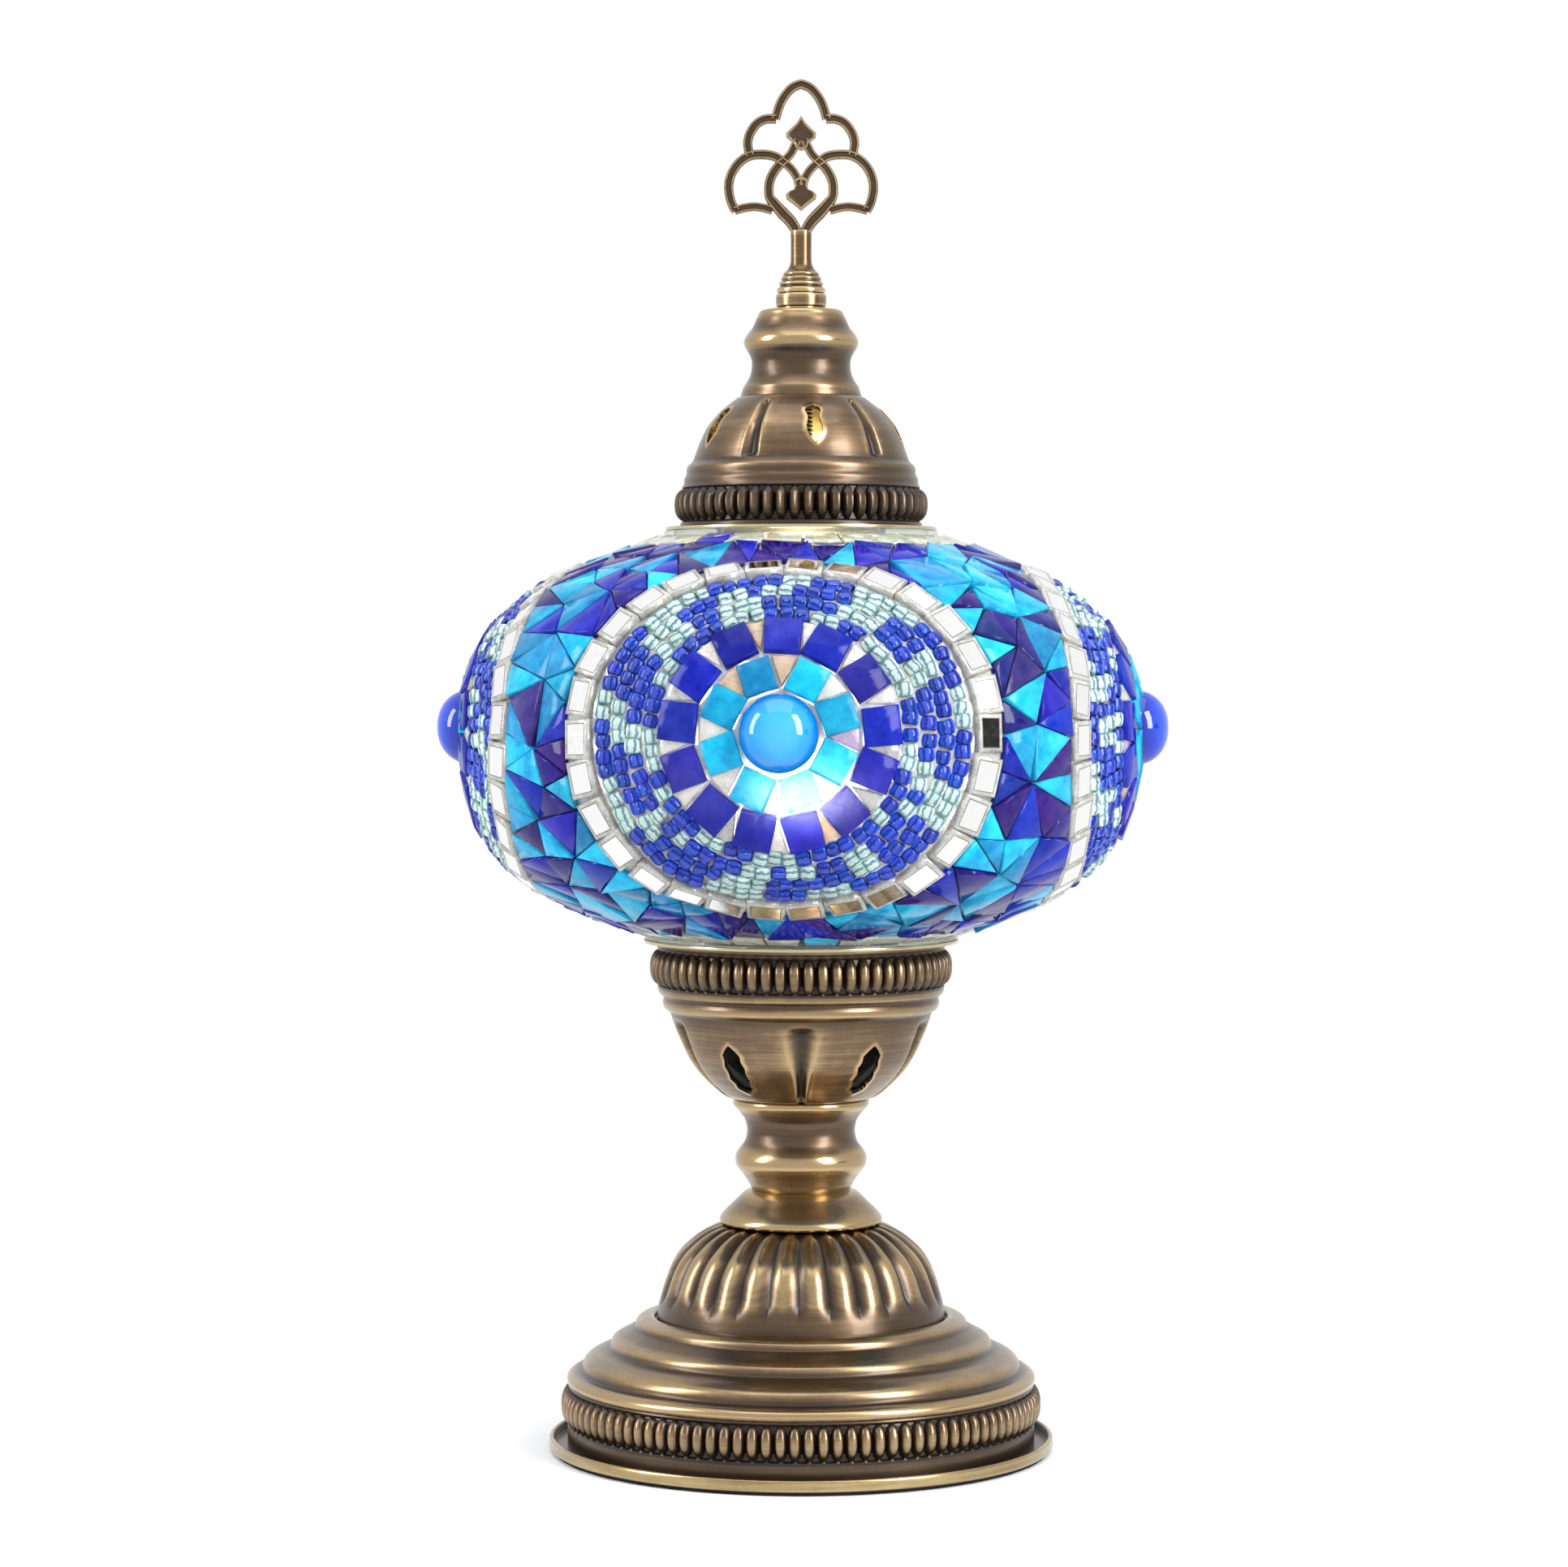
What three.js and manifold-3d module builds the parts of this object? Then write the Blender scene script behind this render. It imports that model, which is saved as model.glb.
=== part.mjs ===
// Mosaic glass table lamp, millimetres, +Z up, front facing -Y.
// Origin: the centre of the foot, on the surface the lamp stands on.
//
// A stamped antique-brass base, a spun neck and a slotted gallery bowl are drawn together
// on a hollow M10 rod. A flat harp clamped in the bowl carries an M6 stud, and the finial
// screwed on that stud holds down the slotted cap and, under it, the flattened glass globe.
// The globe is covered with glass tiles and beads set in four round medallions.

import * as THREE from "three";
import { mergeVertices } from "three/addons/utils/BufferGeometryUtils.js";
import Module from "manifold-3d";

const wasm = await Module();
wasm.setup();

// ---------------------------------------------------------------- driving dimensions
const SEG = 24; // facets of the large shells
const SEG_S = 16; // facets of the small turned parts
const GAP = 0.05; // between flat faces that bear on each other

const FELT_T = 0.8;
const FELT_R = 61.0;
const TRAY_R = 62.2; // widest point of the base
const TRAY_T = 0.9;
const TRAY_LIP_Z = 3.8;
const SHEET = 0.9; // stamped sheet thickness

const COLLAR_Z = 55.95; // joint between fluted dome and collar
const NECK_Z = 64.35; // joint between collar and neck
const BOWL_Z = 87.0; // joint between neck and gallery bowl
const BOWL_TOP = 125.4; // rim that the globe stands on
const GLOBE_Z = 177.4; // height of the globe's widest circle
const CAP_Z = 227.7; // lower rim of the cap
const CAP_NECK_Z = 259.55; // joint between cap dome and cap neck
const CAP_TOP = 280.8; // flat that the finial screws down on

const MEDALLION_TURN = -3.75; // degrees the globe is turned on its seat
const MEDALLION_A = 52.0; // half width of a medallion seen square on
const MEDALLION_B = 44.5; // half height
const MEDALLION_Z = 178.4;
const TILE_T = 3.0; // thickness of the tile layer
const CABOCHON_R = 9.1;
const CABOCHON_TOP = 90.5; // furthest point of a cabochon from the axis

const ROD_R = 5.0; // M10 hollow rod
const ROD_BORE = 3.8;
const STUD_R = 3.0; // M6 stud
const SLOTS = 5; // vent slots in the bowl and in the cap
const BULB_SEAT_Z = 112.0;

// ---------------------------------------------------------------- materials
const mat = (color, roughness, metalness, extra = {}) =>
  new THREE.MeshStandardMaterial({ color, roughness, metalness, ...extra });
const antiqueBrass = mat(0x6f5a3a, 0.36, 1.0);
const polishedBrass = mat(0xa88f55, 0.28, 1.0);
const steel = mat(0x8d8f92, 0.4, 1.0);
const blackFelt = mat(0x1b1b1c, 0.95, 0.0);
const rubber = mat(0x161616, 0.8, 0.0);
const phenolic = mat(0x1c1815, 0.45, 0.0);
const clearGlass = mat(0xdfe8e6, 0.05, 0.0, { transparent: true, opacity: 0.35 });
const mosaicGlass = mat(0x1673c8, 0.18, 0.0);
const blueGlass = mat(0x1244d8, 0.06, 0.0);
const turquoiseGlass = mat(0x18a8e6, 0.06, 0.0);

// ---------------------------------------------------------------- helpers
const deg = (a) => (a * Math.PI) / 180;

// A closed profile of [radius, height] pairs, turned about Z.
// Material lies to the left of the direction in which the profile runs.
function lathe(profile, seg = SEG) {
  const pts = profile.map(([r, z]) => new THREE.Vector2(r, z));
  const first = profile[0],
    last = profile[profile.length - 1];
  if (!(first[0] === 0 && last[0] === 0)) pts.push(pts[0].clone());
  return new THREE.LatheGeometry(pts, seg).rotateX(Math.PI / 2);
}

// A sheet closed at the top on the axis: the outer profile runs from the open rim up to the axis.
function dome(outer, t) {
  const n = outer.length;
  const inner = sheet(outer, t).slice(n).reverse();
  inner[n - 1] = [0, outer[n - 1][1] - t];
  return inner.reverse().concat(outer);
}

// The outline of a sheet of thickness t whose outer face is the open profile given,
// cut square to the axis (or along it) at both ends.
function sheet(outer, t = SHEET) {
  const last = outer.length - 1;
  const inner = outer.map((p, i) => {
    if (i === 0 || i === last) {
      const n = i === 0 ? leftNormal(p, outer[1]) : leftNormal(outer[last - 1], p);
      return Math.abs(n[0]) >= Math.abs(n[1]) ? [p[0] + t / n[0], p[1]] : [p[0], p[1] + t / n[1]];
    }
    const n1 = leftNormal(outer[i - 1], p),
      n2 = leftNormal(p, outer[i + 1]);
    const n = [n1[0] + n2[0], n1[1] + n2[1]],
      l = Math.hypot(n[0], n[1]),
      along = Math.min(1.35, 2 / l);
    return [p[0] + (n[0] / l) * t * along, p[1] + (n[1] / l) * t * along];
  });
  return outer.concat(inner.reverse());
}
function leftNormal(a, b) {
  const dr = b[0] - a[0],
    dz = b[1] - a[1],
    l = Math.hypot(dr, dz) || 1;
  return [-dz / l, dr / l];
}

function solidOf(geometry) {
  const g = geometry.index ? geometry.toNonIndexed() : geometry.clone();
  const bare = new THREE.BufferGeometry().setAttribute("position", g.getAttribute("position"));
  const m = mergeVertices(bare, 1e-4);
  return new wasm.Manifold(
    new wasm.Mesh({
      numProp: 3,
      vertProperties: m.attributes.position.array,
      triVerts: new Uint32Array(m.index.array),
    }),
  );
}
function geometryOf(solid) {
  const m = solid.getMesh(),
    n = m.numProp;
  const v = new Float32Array(m.numVert * 3);
  for (let i = 0; i < m.numVert; i++) v.set(m.vertProperties.subarray(i * n, i * n + 3), i * 3);
  const g = new THREE.BufferGeometry()
    .setAttribute("position", new THREE.BufferAttribute(v, 3))
    .setIndex(new THREE.BufferAttribute(new Uint32Array(m.triVerts), 1));
  g.computeVertexNormals();
  return g;
}

// A round bar or hole along Z.
const bar = (r, z0, z1, seg = SEG_S) =>
  new THREE.CylinderGeometry(r, r, z1 - z0, seg).rotateX(Math.PI / 2).translate(0, 0, (z0 + z1) / 2);

// A named mesh, stored about its own lowest plane and placed in its group at that height.
function add(group, name, geometry, material, at = [0, 0, 0], turnZ = 0) {
  geometry.computeBoundingBox();
  const z0 = Math.round(geometry.boundingBox.min.z * 1000) / 1000;
  const mesh = new THREE.Mesh(geometry.translate(0, 0, -z0), material);
  mesh.name = name;
  mesh.position.set(at[0], at[1], at[2] + z0);
  mesh.rotation.z = turnZ;
  group.add(mesh);
  return mesh;
}

// A hexagonal nut with a round hole, across flats af, from z0 to z1.
function hexNut(af, hole, z0, z1) {
  const s = new THREE.Shape();
  for (let i = 0; i < 6; i++) {
    const a = deg(60 * i + 30),
      r = af / 2 / Math.cos(deg(30));
    i ? s.lineTo(r * Math.cos(a), r * Math.sin(a)) : s.moveTo(r * Math.cos(a), r * Math.sin(a));
  }
  s.closePath();
  s.holes.push(new THREE.Path().absarc(0, 0, hole, 0, 2 * Math.PI, true));
  return new THREE.ExtrudeGeometry(s, { depth: z1 - z0, bevelEnabled: false, curveSegments: 10 }).translate(0, 0, z0);
}
const washer = (rOut, rIn, z0, z1, seg = SEG_S) => lathe([[rIn, z0], [rOut, z0], [rOut, z1], [rIn, z1]], seg);

// A flat ribbon of constant width along 2-D points, as a shape.
function ribbon(points, width, samples) {
  const curve = new THREE.CatmullRomCurve3(points.map(([x, y]) => new THREE.Vector3(x, y, 0)), false, "centripetal");
  const left = [],
    right = [];
  for (let i = 0; i <= samples; i++) {
    const u = i / samples,
      p = curve.getPoint(u),
      t = curve.getTangent(u);
    const w = (typeof width === "function" ? width(u) : width) / 2;
    left.push(new THREE.Vector2(p.x - t.y * w, p.y + t.x * w));
    right.push(new THREE.Vector2(p.x + t.y * w, p.y - t.x * w));
  }
  return new THREE.Shape([...left, ...right.reverse()]);
}

// ---------------------------------------------------------------- groups, one per thing that moves
const lamp = new THREE.Group();
const base = new THREE.Group();
const globe = new THREE.Group();
const cap = new THREE.Group();
const finialWasher = new THREE.Group();
const finial = new THREE.Group();
const bulb = new THREE.Group();
lamp.add(base);
base.add(bulb, globe);
globe.add(cap);
cap.add(finialWasher);
finialWasher.add(finial);

// ---------------------------------------------------------------- base
add(base, "felt_pad", lathe([[18, 0], [FELT_R, 0], [FELT_R, FELT_T], [18, FELT_T]]), blackFelt);

// Pressed tray that closes the base: an upturned lip outside, a raised boss for the rod nut inside.
const trayZ = FELT_T + GAP;
add(
  base,
  "base_tray",
  lathe([
    [ROD_R + 0.4, 8.0], [14.5, 8.0], [17.5, trayZ], [TRAY_R - 0.4, trayZ], [TRAY_R, trayZ + 0.5], [TRAY_R, TRAY_LIP_Z - 0.2],
    [TRAY_R - 0.3, TRAY_LIP_Z], [TRAY_R - 0.9, TRAY_LIP_Z - 0.2], [TRAY_R - 1.0, trayZ + TRAY_T],
    [18.2, trayZ + TRAY_T], [15.2, 8.0 + TRAY_T], [ROD_R + 0.4, 8.0 + TRAY_T],
  ]),
  polishedBrass,
);

// Stepped cover of the base: foot wall, beaded band, shoulder, three rings, and a seat for the dome.
const shellOuter = [
  [57.8, 1.85], [57.8, 7.0], [59.2, 9.4], [59.2, 13.2], [57.3, 15.6], [57.2, 18.4], [54.6, 20.0], [53.9, 23.0], [50.6, 24.4],
  [48.2, 25.3], [47.4, 28.0], [44.2, 29.3], [41.8, 30.2], [40.9, 32.7], [38.4, 33.6], [36.4, 32.0], [31.0, 32.0],
];
const shellInner = [
  [31.0, 31.1], [36.6, 31.1], [38.6, 32.5], [40.4, 31.0], [41.2, 29.1], [46.8, 27.0], [47.4, 24.3], [53.0, 22.2], [53.6, 19.2],
  [56.1, 17.8], [56.3, 15.2], [57.9, 13.0], [57.9, 9.6], [56.9, 7.4], [56.9, 1.85],
];
const GROMMET_Z = 11.3;
const cordHole = new THREE.CylinderGeometry(4.1, 4.1, 12, 16).translate(0, 58, GROMMET_Z);
add(base, "base_shell", geometryOf(solidOf(lathe(shellOuter.concat(shellInner))).subtract(solidOf(cordHole))), antiqueBrass);

// Grommet that lines the cord hole at the back: an outer flange, a barrel and an inner bead.
add(
  base,
  "cord_grommet",
  lathe([[2.9, 54.8], [4.5, 54.8], [4.5, 55.4], [3.9, 55.7], [3.9, 59.9], [5.4, 59.9], [5.2, 61.0], [2.9, 61.0]], 16)
    .rotateX(-Math.PI / 2)
    .translate(0, 0, GROMMET_Z),
  rubber,
);

// Fluted dome, shown here as its smooth envelope.
add(
  base,
  "base_dome",
  lathe(
    sheet([
      [35.7, 32.1], [35.2, 35.6], [33.6, 41.6], [31.2, 47.2], [27.8, 51.2], [22.8, 54.6], [18.0, 55.9], [5.6, 55.9],
    ]),
  ),
  antiqueBrass,
);

// Ogee collar under the neck.
add(
  base,
  "base_collar",
  lathe(
    sheet(
      [
        [19.5, COLLAR_Z], [20.0, 57.2], [18.9, 58.9], [15.5, 61.9], [12.9, 64.3], [5.6, 64.3],
      ],
      SHEET,
    ),
    SEG_S,
  ),
  antiqueBrass,
);

// Waisted neck.
add(
  base,
  "stem_neck",
  lathe(
    sheet([
      [12.0, NECK_Z], [14.3, 68.4], [16.0, 70.6], [16.1, 72.8], [14.0, 76.2], [13.3, 79.2], [14.6, 82.8], [16.8, 85.9], [16.4, 86.95],
      [5.6, 86.95],
    ]),
    SEG_S,
  ),
  antiqueBrass,
);

// ---------------------------------------------------------------- vent slots
// Ornamental keyhole, drawn upright in the plane X-Z about its own centre, height 2h and width 2w.
function slotCutter(h, w, r0, r1) {
  const half = [[0, 1], [0.95, 0.5], [0.7, 0.15], [1, -0.2], [0.7, -0.62], [0, -1]];
  const pts = half.map(([x, y]) => [x * w, y * h]).concat(half.slice(1, -1).reverse().map(([x, y]) => [-x * w, y * h]));
  const s = new THREE.Shape(pts.map(([x, y]) => new THREE.Vector2(x, y)));
  // extruded along +Z, then turned to run along -Y from r0 to r1
  return new THREE.ExtrudeGeometry(s, { depth: r1 - r0, bevelEnabled: false }).rotateX(Math.PI / 2).translate(0, -r0, 0);
}

// Gallery bowl: foot, belly with vent slots, moulding, beaded band and rim.
const bowlOuter = [
  [5.6, BOWL_Z], [17.4, BOWL_Z], [22.2, 90.3], [26.4, 94.8], [29.4, 100.0], [31.8, 106.4], [34.2, 111.4], [36.9, 116.8],
  [37.2, 120.6], [35.9, 122.9], [35.9, BOWL_TOP],
];
let bowl = solidOf(lathe(sheet(bowlOuter)));
for (let i = 0; i < SLOTS; i++) {
  const c = slotCutter(6.3, 1.9, 20, 40).rotateX(deg(-18)).rotateZ(deg(36 + 72 * i)).translate(0, 0, 90.2);
  bowl = bowl.subtract(solidOf(c));
}
add(base, "gallery_bowl", geometryOf(bowl), antiqueBrass);

// ---------------------------------------------------------------- rod and its fasteners
add(base, "threaded_rod", lathe([[ROD_BORE, 2.6], [ROD_R, 2.6], [ROD_R, 103.0], [ROD_BORE, 103.0]], 20), steel);
add(base, "rod_washer_lower", washer(8.6, 5.3, 7.1, 7.9), steel);
add(base, "rod_nut_lower", hexNut(14, 5.3, 3.2, 7.0), steel);
add(base, "rod_washer_upper", washer(8.6, 5.3, 88.0, 88.8), steel);
add(base, "rod_nut_upper", hexNut(14, 5.3, 90.4, 94.2), steel);

// ---------------------------------------------------------------- harp
// Flat strip bent into a frame round the bulb, foot clamped in the bowl, bridge drilled for the stud.
const HARP_W = 10,
  HARP_T = 1.3;
const harpLine = [
  [0, 89.6], [9.4, 89.6], [11.6, 89.8], [15.0, 91.6], [19.6, 97.0], [22.9, 105.0], [23.6, 113.0], [23.6, 160.0], [23.6, 210.0], [22.6, 220.0],
  [19.2, 228.6], [13.6, 235.2], [7.4, 238.5], [0, 238.6],
];
const harpCurve = new THREE.CatmullRomCurve3(harpLine.map(([x, z]) => new THREE.Vector3(x, z, 0)), false, "centripetal");
const harpPts = [];
for (let i = 0; i <= 26; i++) harpPts.push(harpCurve.getPointAt(i / 26));
const harpOut = [],
  harpIn = [];
harpPts.forEach((p, i) => {
  const last = harpPts.length - 1,
    a = harpPts[Math.max(i - 1, 0)],
    b = harpPts[Math.min(i + 1, last)];
  const l = Math.hypot(b.x - a.x, b.y - a.y);
  // outward normal, square to the plane of symmetry at both ends
  const nx = i === 0 || i === last ? 0 : (b.y - a.y) / l,
    ny = i === 0 ? -1 : i === last ? 1 : -(b.x - a.x) / l;
  harpOut.push([p.x + (nx * HARP_T) / 2, p.y + (ny * HARP_T) / 2]);
  harpIn.push([p.x - (nx * HARP_T) / 2, p.y - (ny * HARP_T) / 2]);
});
const mirrored = (pts) => pts.slice(1, -1).reverse().map(([x, y]) => [-x, y]);
const harpShape = new THREE.Shape(harpOut.concat(mirrored(harpOut)).map(([x, y]) => new THREE.Vector2(x, y)));
harpShape.holes.push(new THREE.Path(harpIn.concat(mirrored(harpIn)).map(([x, y]) => new THREE.Vector2(x, y))));
const harpBody = new THREE.ExtrudeGeometry(harpShape, { depth: HARP_W, bevelEnabled: false })
  .translate(0, 0, -HARP_W / 2)
  .rotateX(Math.PI / 2);
let harp = solidOf(harpBody);
harp = harp.subtract(solidOf(bar(5.3, 85, 95, 20))).subtract(solidOf(bar(3.25, 230, 245, 16)));
add(base, "harp", geometryOf(harp), steel);
add(base, "harp_stud", bar(STUD_R, 232.0, 288.0, 16), steel);
add(base, "harp_nut_lower", hexNut(10, 3.25, 233.2, 237.3), steel);
add(base, "harp_nut_upper", hexNut(10, 3.25, 239.4, 243.6), steel);

// ---------------------------------------------------------------- lampholder
add(
  base,
  "socket_cap",
  lathe([[5.3, 95.0], [8.6, 95.0], [13.5, 100.4], [13.5, 104.95], [12.3, 104.95], [12.3, 101.0], [8.0, 96.4], [5.3, 96.4]], SEG_S),
  phenolic,
);
add(
  base,
  "socket_body",
  lathe([[2.2, 105.0], [13.5, 105.0], [13.5, 134.0], [14.4, 134.4], [14.4, 137.0], [13.6, 138.0], [8.2, 138.0], [8.2, 108.6], [2.2, 108.6]], SEG_S),
  phenolic,
);
add(base, "socket_screw_shell", lathe([[7.35, 110.6], [7.95, 110.6], [7.95, 136.6], [7.35, 136.6]], SEG_S), polishedBrass);
// Spring tongue under the bulb's tip.
const tongue = new THREE.Shape([
  [-6.0, 0], [-5.2, 0], [-4.4, 0.35], [2.2, 1.2], [2.6, 1.7], [2.2, 1.95], [-4.6, 1.05], [-6.0, 0.7],
].map(([x, y]) => new THREE.Vector2(x, y)));
add(
  base,
  "socket_contact",
  new THREE.ExtrudeGeometry(tongue, { depth: 4, bevelEnabled: false }).translate(0, 0, -2).rotateX(Math.PI / 2).translate(0, 0, 108.65),
  polishedBrass,
);
const screwProfile = [[0, 0], [1.2, 0], [1.2, 2.4], [2.4, 2.4], [2.4, 3.9], [0, 3.9]];
for (const [n, x] of [["terminal_screw_left", -9.2], ["terminal_screw_right", 9.2]])
  add(base, n, lathe(screwProfile, 12).rotateX(Math.PI).translate(x, 0, 104.9), polishedBrass);

// ---------------------------------------------------------------- bulb
add(bulb, "bulb_tip", lathe([[0, 110.75], [1.6, 110.9], [2.6, 111.4], [2.6, 111.95], [0, 111.95]], 16), polishedBrass);
add(
  bulb,
  "bulb_cap",
  lathe([[0, BULB_SEAT_Z], [4.6, BULB_SEAT_Z], [6.9, 114.4], [6.9, 136.0], [6.3, 136.0], [6.3, 116.0], [0, 114.0]], SEG_S),
  polishedBrass,
);
add(
  bulb,
  "bulb_envelope",
  lathe(
    dome(
      [
        [6.2, 134.6], [6.2, 136.2], [11.4, 143.4], [15.8, 152.0], [17.5, 161.6], [16.2, 171.6], [11.6, 184.0], [6.4, 196.0],
        [2.8, 205.2], [0, 208.0],
      ],
      0.8,
    ),
    SEG_S,
  ),
  clearGlass,
);
add(
  bulb,
  "bulb_stem",
  lathe([[0, 117.0], [4.4, 117.0], [4.4, 134.0], [2.6, 140.0], [2.0, 150.0], [3.4, 152.0], [3.4, 174.0], [2.0, 177.0], [0, 178.0]], 12),
  clearGlass,
);

// ---------------------------------------------------------------- globe
// Outer face of the tile layer, as [radius, height above the widest circle].
const tileFace = [
  [38.9, -50.4], [50.0, -45.2], [61.4, -40.0], [72.6, -32.4], [79.9, -22.2], [84.0, -6.5], [84.0, 6.5], [79.4, 22.0], [70.6, 32.5],
  [58.8, 40.0], [34.2, 48.9],
].map(([r, z]) => [r, z + GLOBE_Z]);
const inset = (t) => sheet(tileFace, t).slice(tileFace.length).reverse();
const skin = solidOf(lathe(tileFace.concat(inset(TILE_T).reverse())));
// Blown glass inside the tile layer, with a short lip turned down at one mouth and up at the other.
const glassOuter = inset(TILE_T + 0.3).slice(1, -1),
  glassInner = inset(TILE_T + 2.7).slice(1, -1);
const glass = [[38.5, 126.45], [38.5, 130.5], ...glassOuter, [33.7, 222.7], [33.7, 226.55], [31.4, 226.55], [31.4, 220.8]]
  .concat(glassInner.reverse(), [[36.0, 132.0], [36.0, 126.45]]);
add(globe, "glass_globe", lathe(glass), clearGlass);

const ovalBar = (a, b, turn) =>
  solidOf(
    new THREE.CylinderGeometry(1, 1, 80, 24).scale(a, 1, b).translate(0, -70, MEDALLION_Z).rotateZ(turn),
  );
let field = skin;
["front", "right", "back", "left"].forEach((side, i) => {
  const turn = deg(MEDALLION_TURN + 90 * i);
  field = field.subtract(ovalBar(MEDALLION_A + 0.15, MEDALLION_B + 0.15, turn));
  const hole = new THREE.CylinderGeometry(CABOCHON_R + 0.3, CABOCHON_R + 0.3, 40, 16).translate(0, -80, MEDALLION_Z).rotateZ(turn);
  const disc = skin.intersect(ovalBar(MEDALLION_A - 0.15, MEDALLION_B - 0.15, turn)).subtract(solidOf(hole));
  add(globe, "mosaic_medallion_" + side, geometryOf(disc), mosaicGlass);
  const R = CABOCHON_R,
    seat = 81.5,
    rise = CABOCHON_TOP - seat - 1.0;
  const gem = [[0, 0], [R, 0], [R, 1.0]];
  for (let k = 1; k < 4; k++) gem.push([R * Math.cos(deg(22.5 * k)), 1.0 + rise * Math.sin(deg(22.5 * k))]);
  gem.push([0, 1.0 + rise]);
  const g = lathe(gem, 16).rotateX(Math.PI / 2).translate(0, -seat, MEDALLION_Z).rotateZ(turn);
  add(globe, "cabochon_" + side, g, i === 0 ? turquoiseGlass : blueGlass);
});
add(globe, "mosaic_field", geometryOf(field), mosaicGlass);

// Brass rings cemented to the two mouths of the glass, each with a short spigot.
add(
  globe,
  "globe_ring_lower",
  lathe([[33.2, 121.4], [34.1, 121.4], [34.1, 125.5], [38.8, 125.5], [38.8, 126.3], [33.2, 126.3]]),
  polishedBrass,
);
add(
  globe,
  "globe_ring_upper",
  lathe([[27.6, 226.7], [33.3, 226.7], [33.3, 227.5], [28.5, 227.5], [28.5, 230.6], [27.6, 230.6]]),
  polishedBrass,
);

// ---------------------------------------------------------------- cap
const capOuter = [
  [29.8, CAP_Z], [30.0, 229.4], [31.2, 232.0], [31.1, 235.0], [29.0, 238.0], [28.2, 241.8], [25.6, 247.0], [23.2, 251.8],
  [19.0, 256.8], [15.4, 259.5], [11.0, 259.5],
];
let capDome = solidOf(lathe(sheet(capOuter)));
for (let i = 0; i < SLOTS; i++) {
  const c = slotCutter(4.9, 1.5, 14, 36).rotateX(deg(24)).rotateZ(deg(7.5 + 72 * i)).translate(0, 0, 262.2);
  capDome = capDome.subtract(solidOf(c));
}
add(cap, "cap_dome", geometryOf(capDome), antiqueBrass);
add(
  cap,
  "cap_neck",
  lathe(
    sheet([
      [14.9, CAP_NECK_Z], [14.4, 261.4], [12.4, 265.0], [12.1, 268.0], [13.9, 271.8], [13.9, 273.8], [11.9, 276.6], [10.4, 280.0],
      [9.2, CAP_TOP], [3.6, CAP_TOP],
    ]),
    SEG_S,
  ),
  antiqueBrass,
);

// ---------------------------------------------------------------- finial
add(finialWasher, "finial_washer", washer(5.5, 3.45, 280.85, 281.45), polishedBrass);
add(
  finial,
  "finial_collar",
  lathe([[3.4, 281.5], [6.0, 281.5], [6.2, 281.9], [6.2, 284.4], [5.9, 284.8], [3.4, 284.8]], SEG_S),
  polishedBrass,
);
// Turned stem: stacked rings below, a slotted tube above that holds the palmette.
const stem = solidOf(
  lathe(
    [
      [0, 288.8], [3.4, 288.8], [3.4, 284.85], [5.6, 284.85], [5.95, 285.4], [5.2, 286.6], [5.4, 287.3], [4.8, 288.1], [4.4, 289.6],
      [3.3, 290.8], [2.65, 292.0], [2.6, 300.4], [0, 300.4],
    ],
    SEG_S,
  ),
).subtract(solidOf(new THREE.BoxGeometry(8, 2.5, 6).translate(0, 0, 298.9)));
add(finial, "finial_stem", geometryOf(stem), polishedBrass);

// Pierced palmette, a flat plate 2.2 mm thick. One side is drawn and mirrored; x is the distance from the axis, z the height.
const PALMETTE_T = 2.2,
  K = 0.0408,
  Z0 = 341.6;
const P = (list) => list.map(([x, y]) => [x * K, Z0 - y * K]);
const strokes = [
  [P([[0, 128], [52, 153], [97, 203], [130, 265], [147, 320], [154, 345]]), 1.85, 6], // pointed top arch
  [P([[150, 344], [210, 345], [262, 370], [303, 424], [320, 478], [317, 526], [308, 562]]), 1.85, 6], // second lobe
  [P([[108, 603], [155, 570], [235, 557], [308, 565], [366, 600], [412, 660], [434, 730], [431, 800], [412, 862], [392, 896]]), 1.9, 9], // side lobe
  [P([[400, 893], [350, 879], [290, 870], [230, 876], [172, 892]]), 1.7, 4], // lower edge
  [P([[108, 597], [155, 650], [186, 710], [194, 770], [190, 830], [174, 880], [138, 922], [92, 968], [48, 1016], [16, 1060]]), 2.0, 9], // inner arc and leg
  [P([[20, 470], [38, 505], [62, 552], [112, 606]]), 1.9, 3],
  [P([[112, 597], [58, 645], [26, 695], [12, 745]]), 1.9, 3],
];
let palmette = null;
const joinIn = (shape) => {
  const s = solidOf(
    new THREE.ExtrudeGeometry(shape, { depth: PALMETTE_T, bevelEnabled: false }).translate(0, 0, -PALMETTE_T / 2).rotateX(Math.PI / 2),
  );
  palmette = palmette ? palmette.add(s) : s;
};
const flip = (pts) => pts.map(([x, y]) => [-x, y]);
for (const [pts, w, n] of strokes) {
  joinIn(ribbon(pts, w, n));
  joinIn(ribbon(flip(pts), w, n));
}
const spade = (half) => {
  const right = P(half);
  return new THREE.Shape(right.concat(flip(right).slice(1, -1).reverse()).map(([x, y]) => new THREE.Vector2(x, y)));
};
joinIn(spade([[0, 325], [26, 366], [60, 400], [90, 428], [88, 456], [66, 474], [48, 486], [36, 520], [0, 528]]));
joinIn(spade([[0, 895], [42, 858], [88, 824], [92, 796], [70, 776], [46, 768], [36, 740], [34, 700], [0, 690]]));
// tongue in the slot of the stem
joinIn(new THREE.Shape([[-2.0, 296.2], [2.0, 296.2], [2.4, 299.4], [1.8, 300.9], [-1.8, 300.9], [-2.4, 299.4]].map(([x, y]) => new THREE.Vector2(x, y))));
add(finial, "finial_palmette", geometryOf(palmette), antiqueBrass);

export default lamp;
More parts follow.
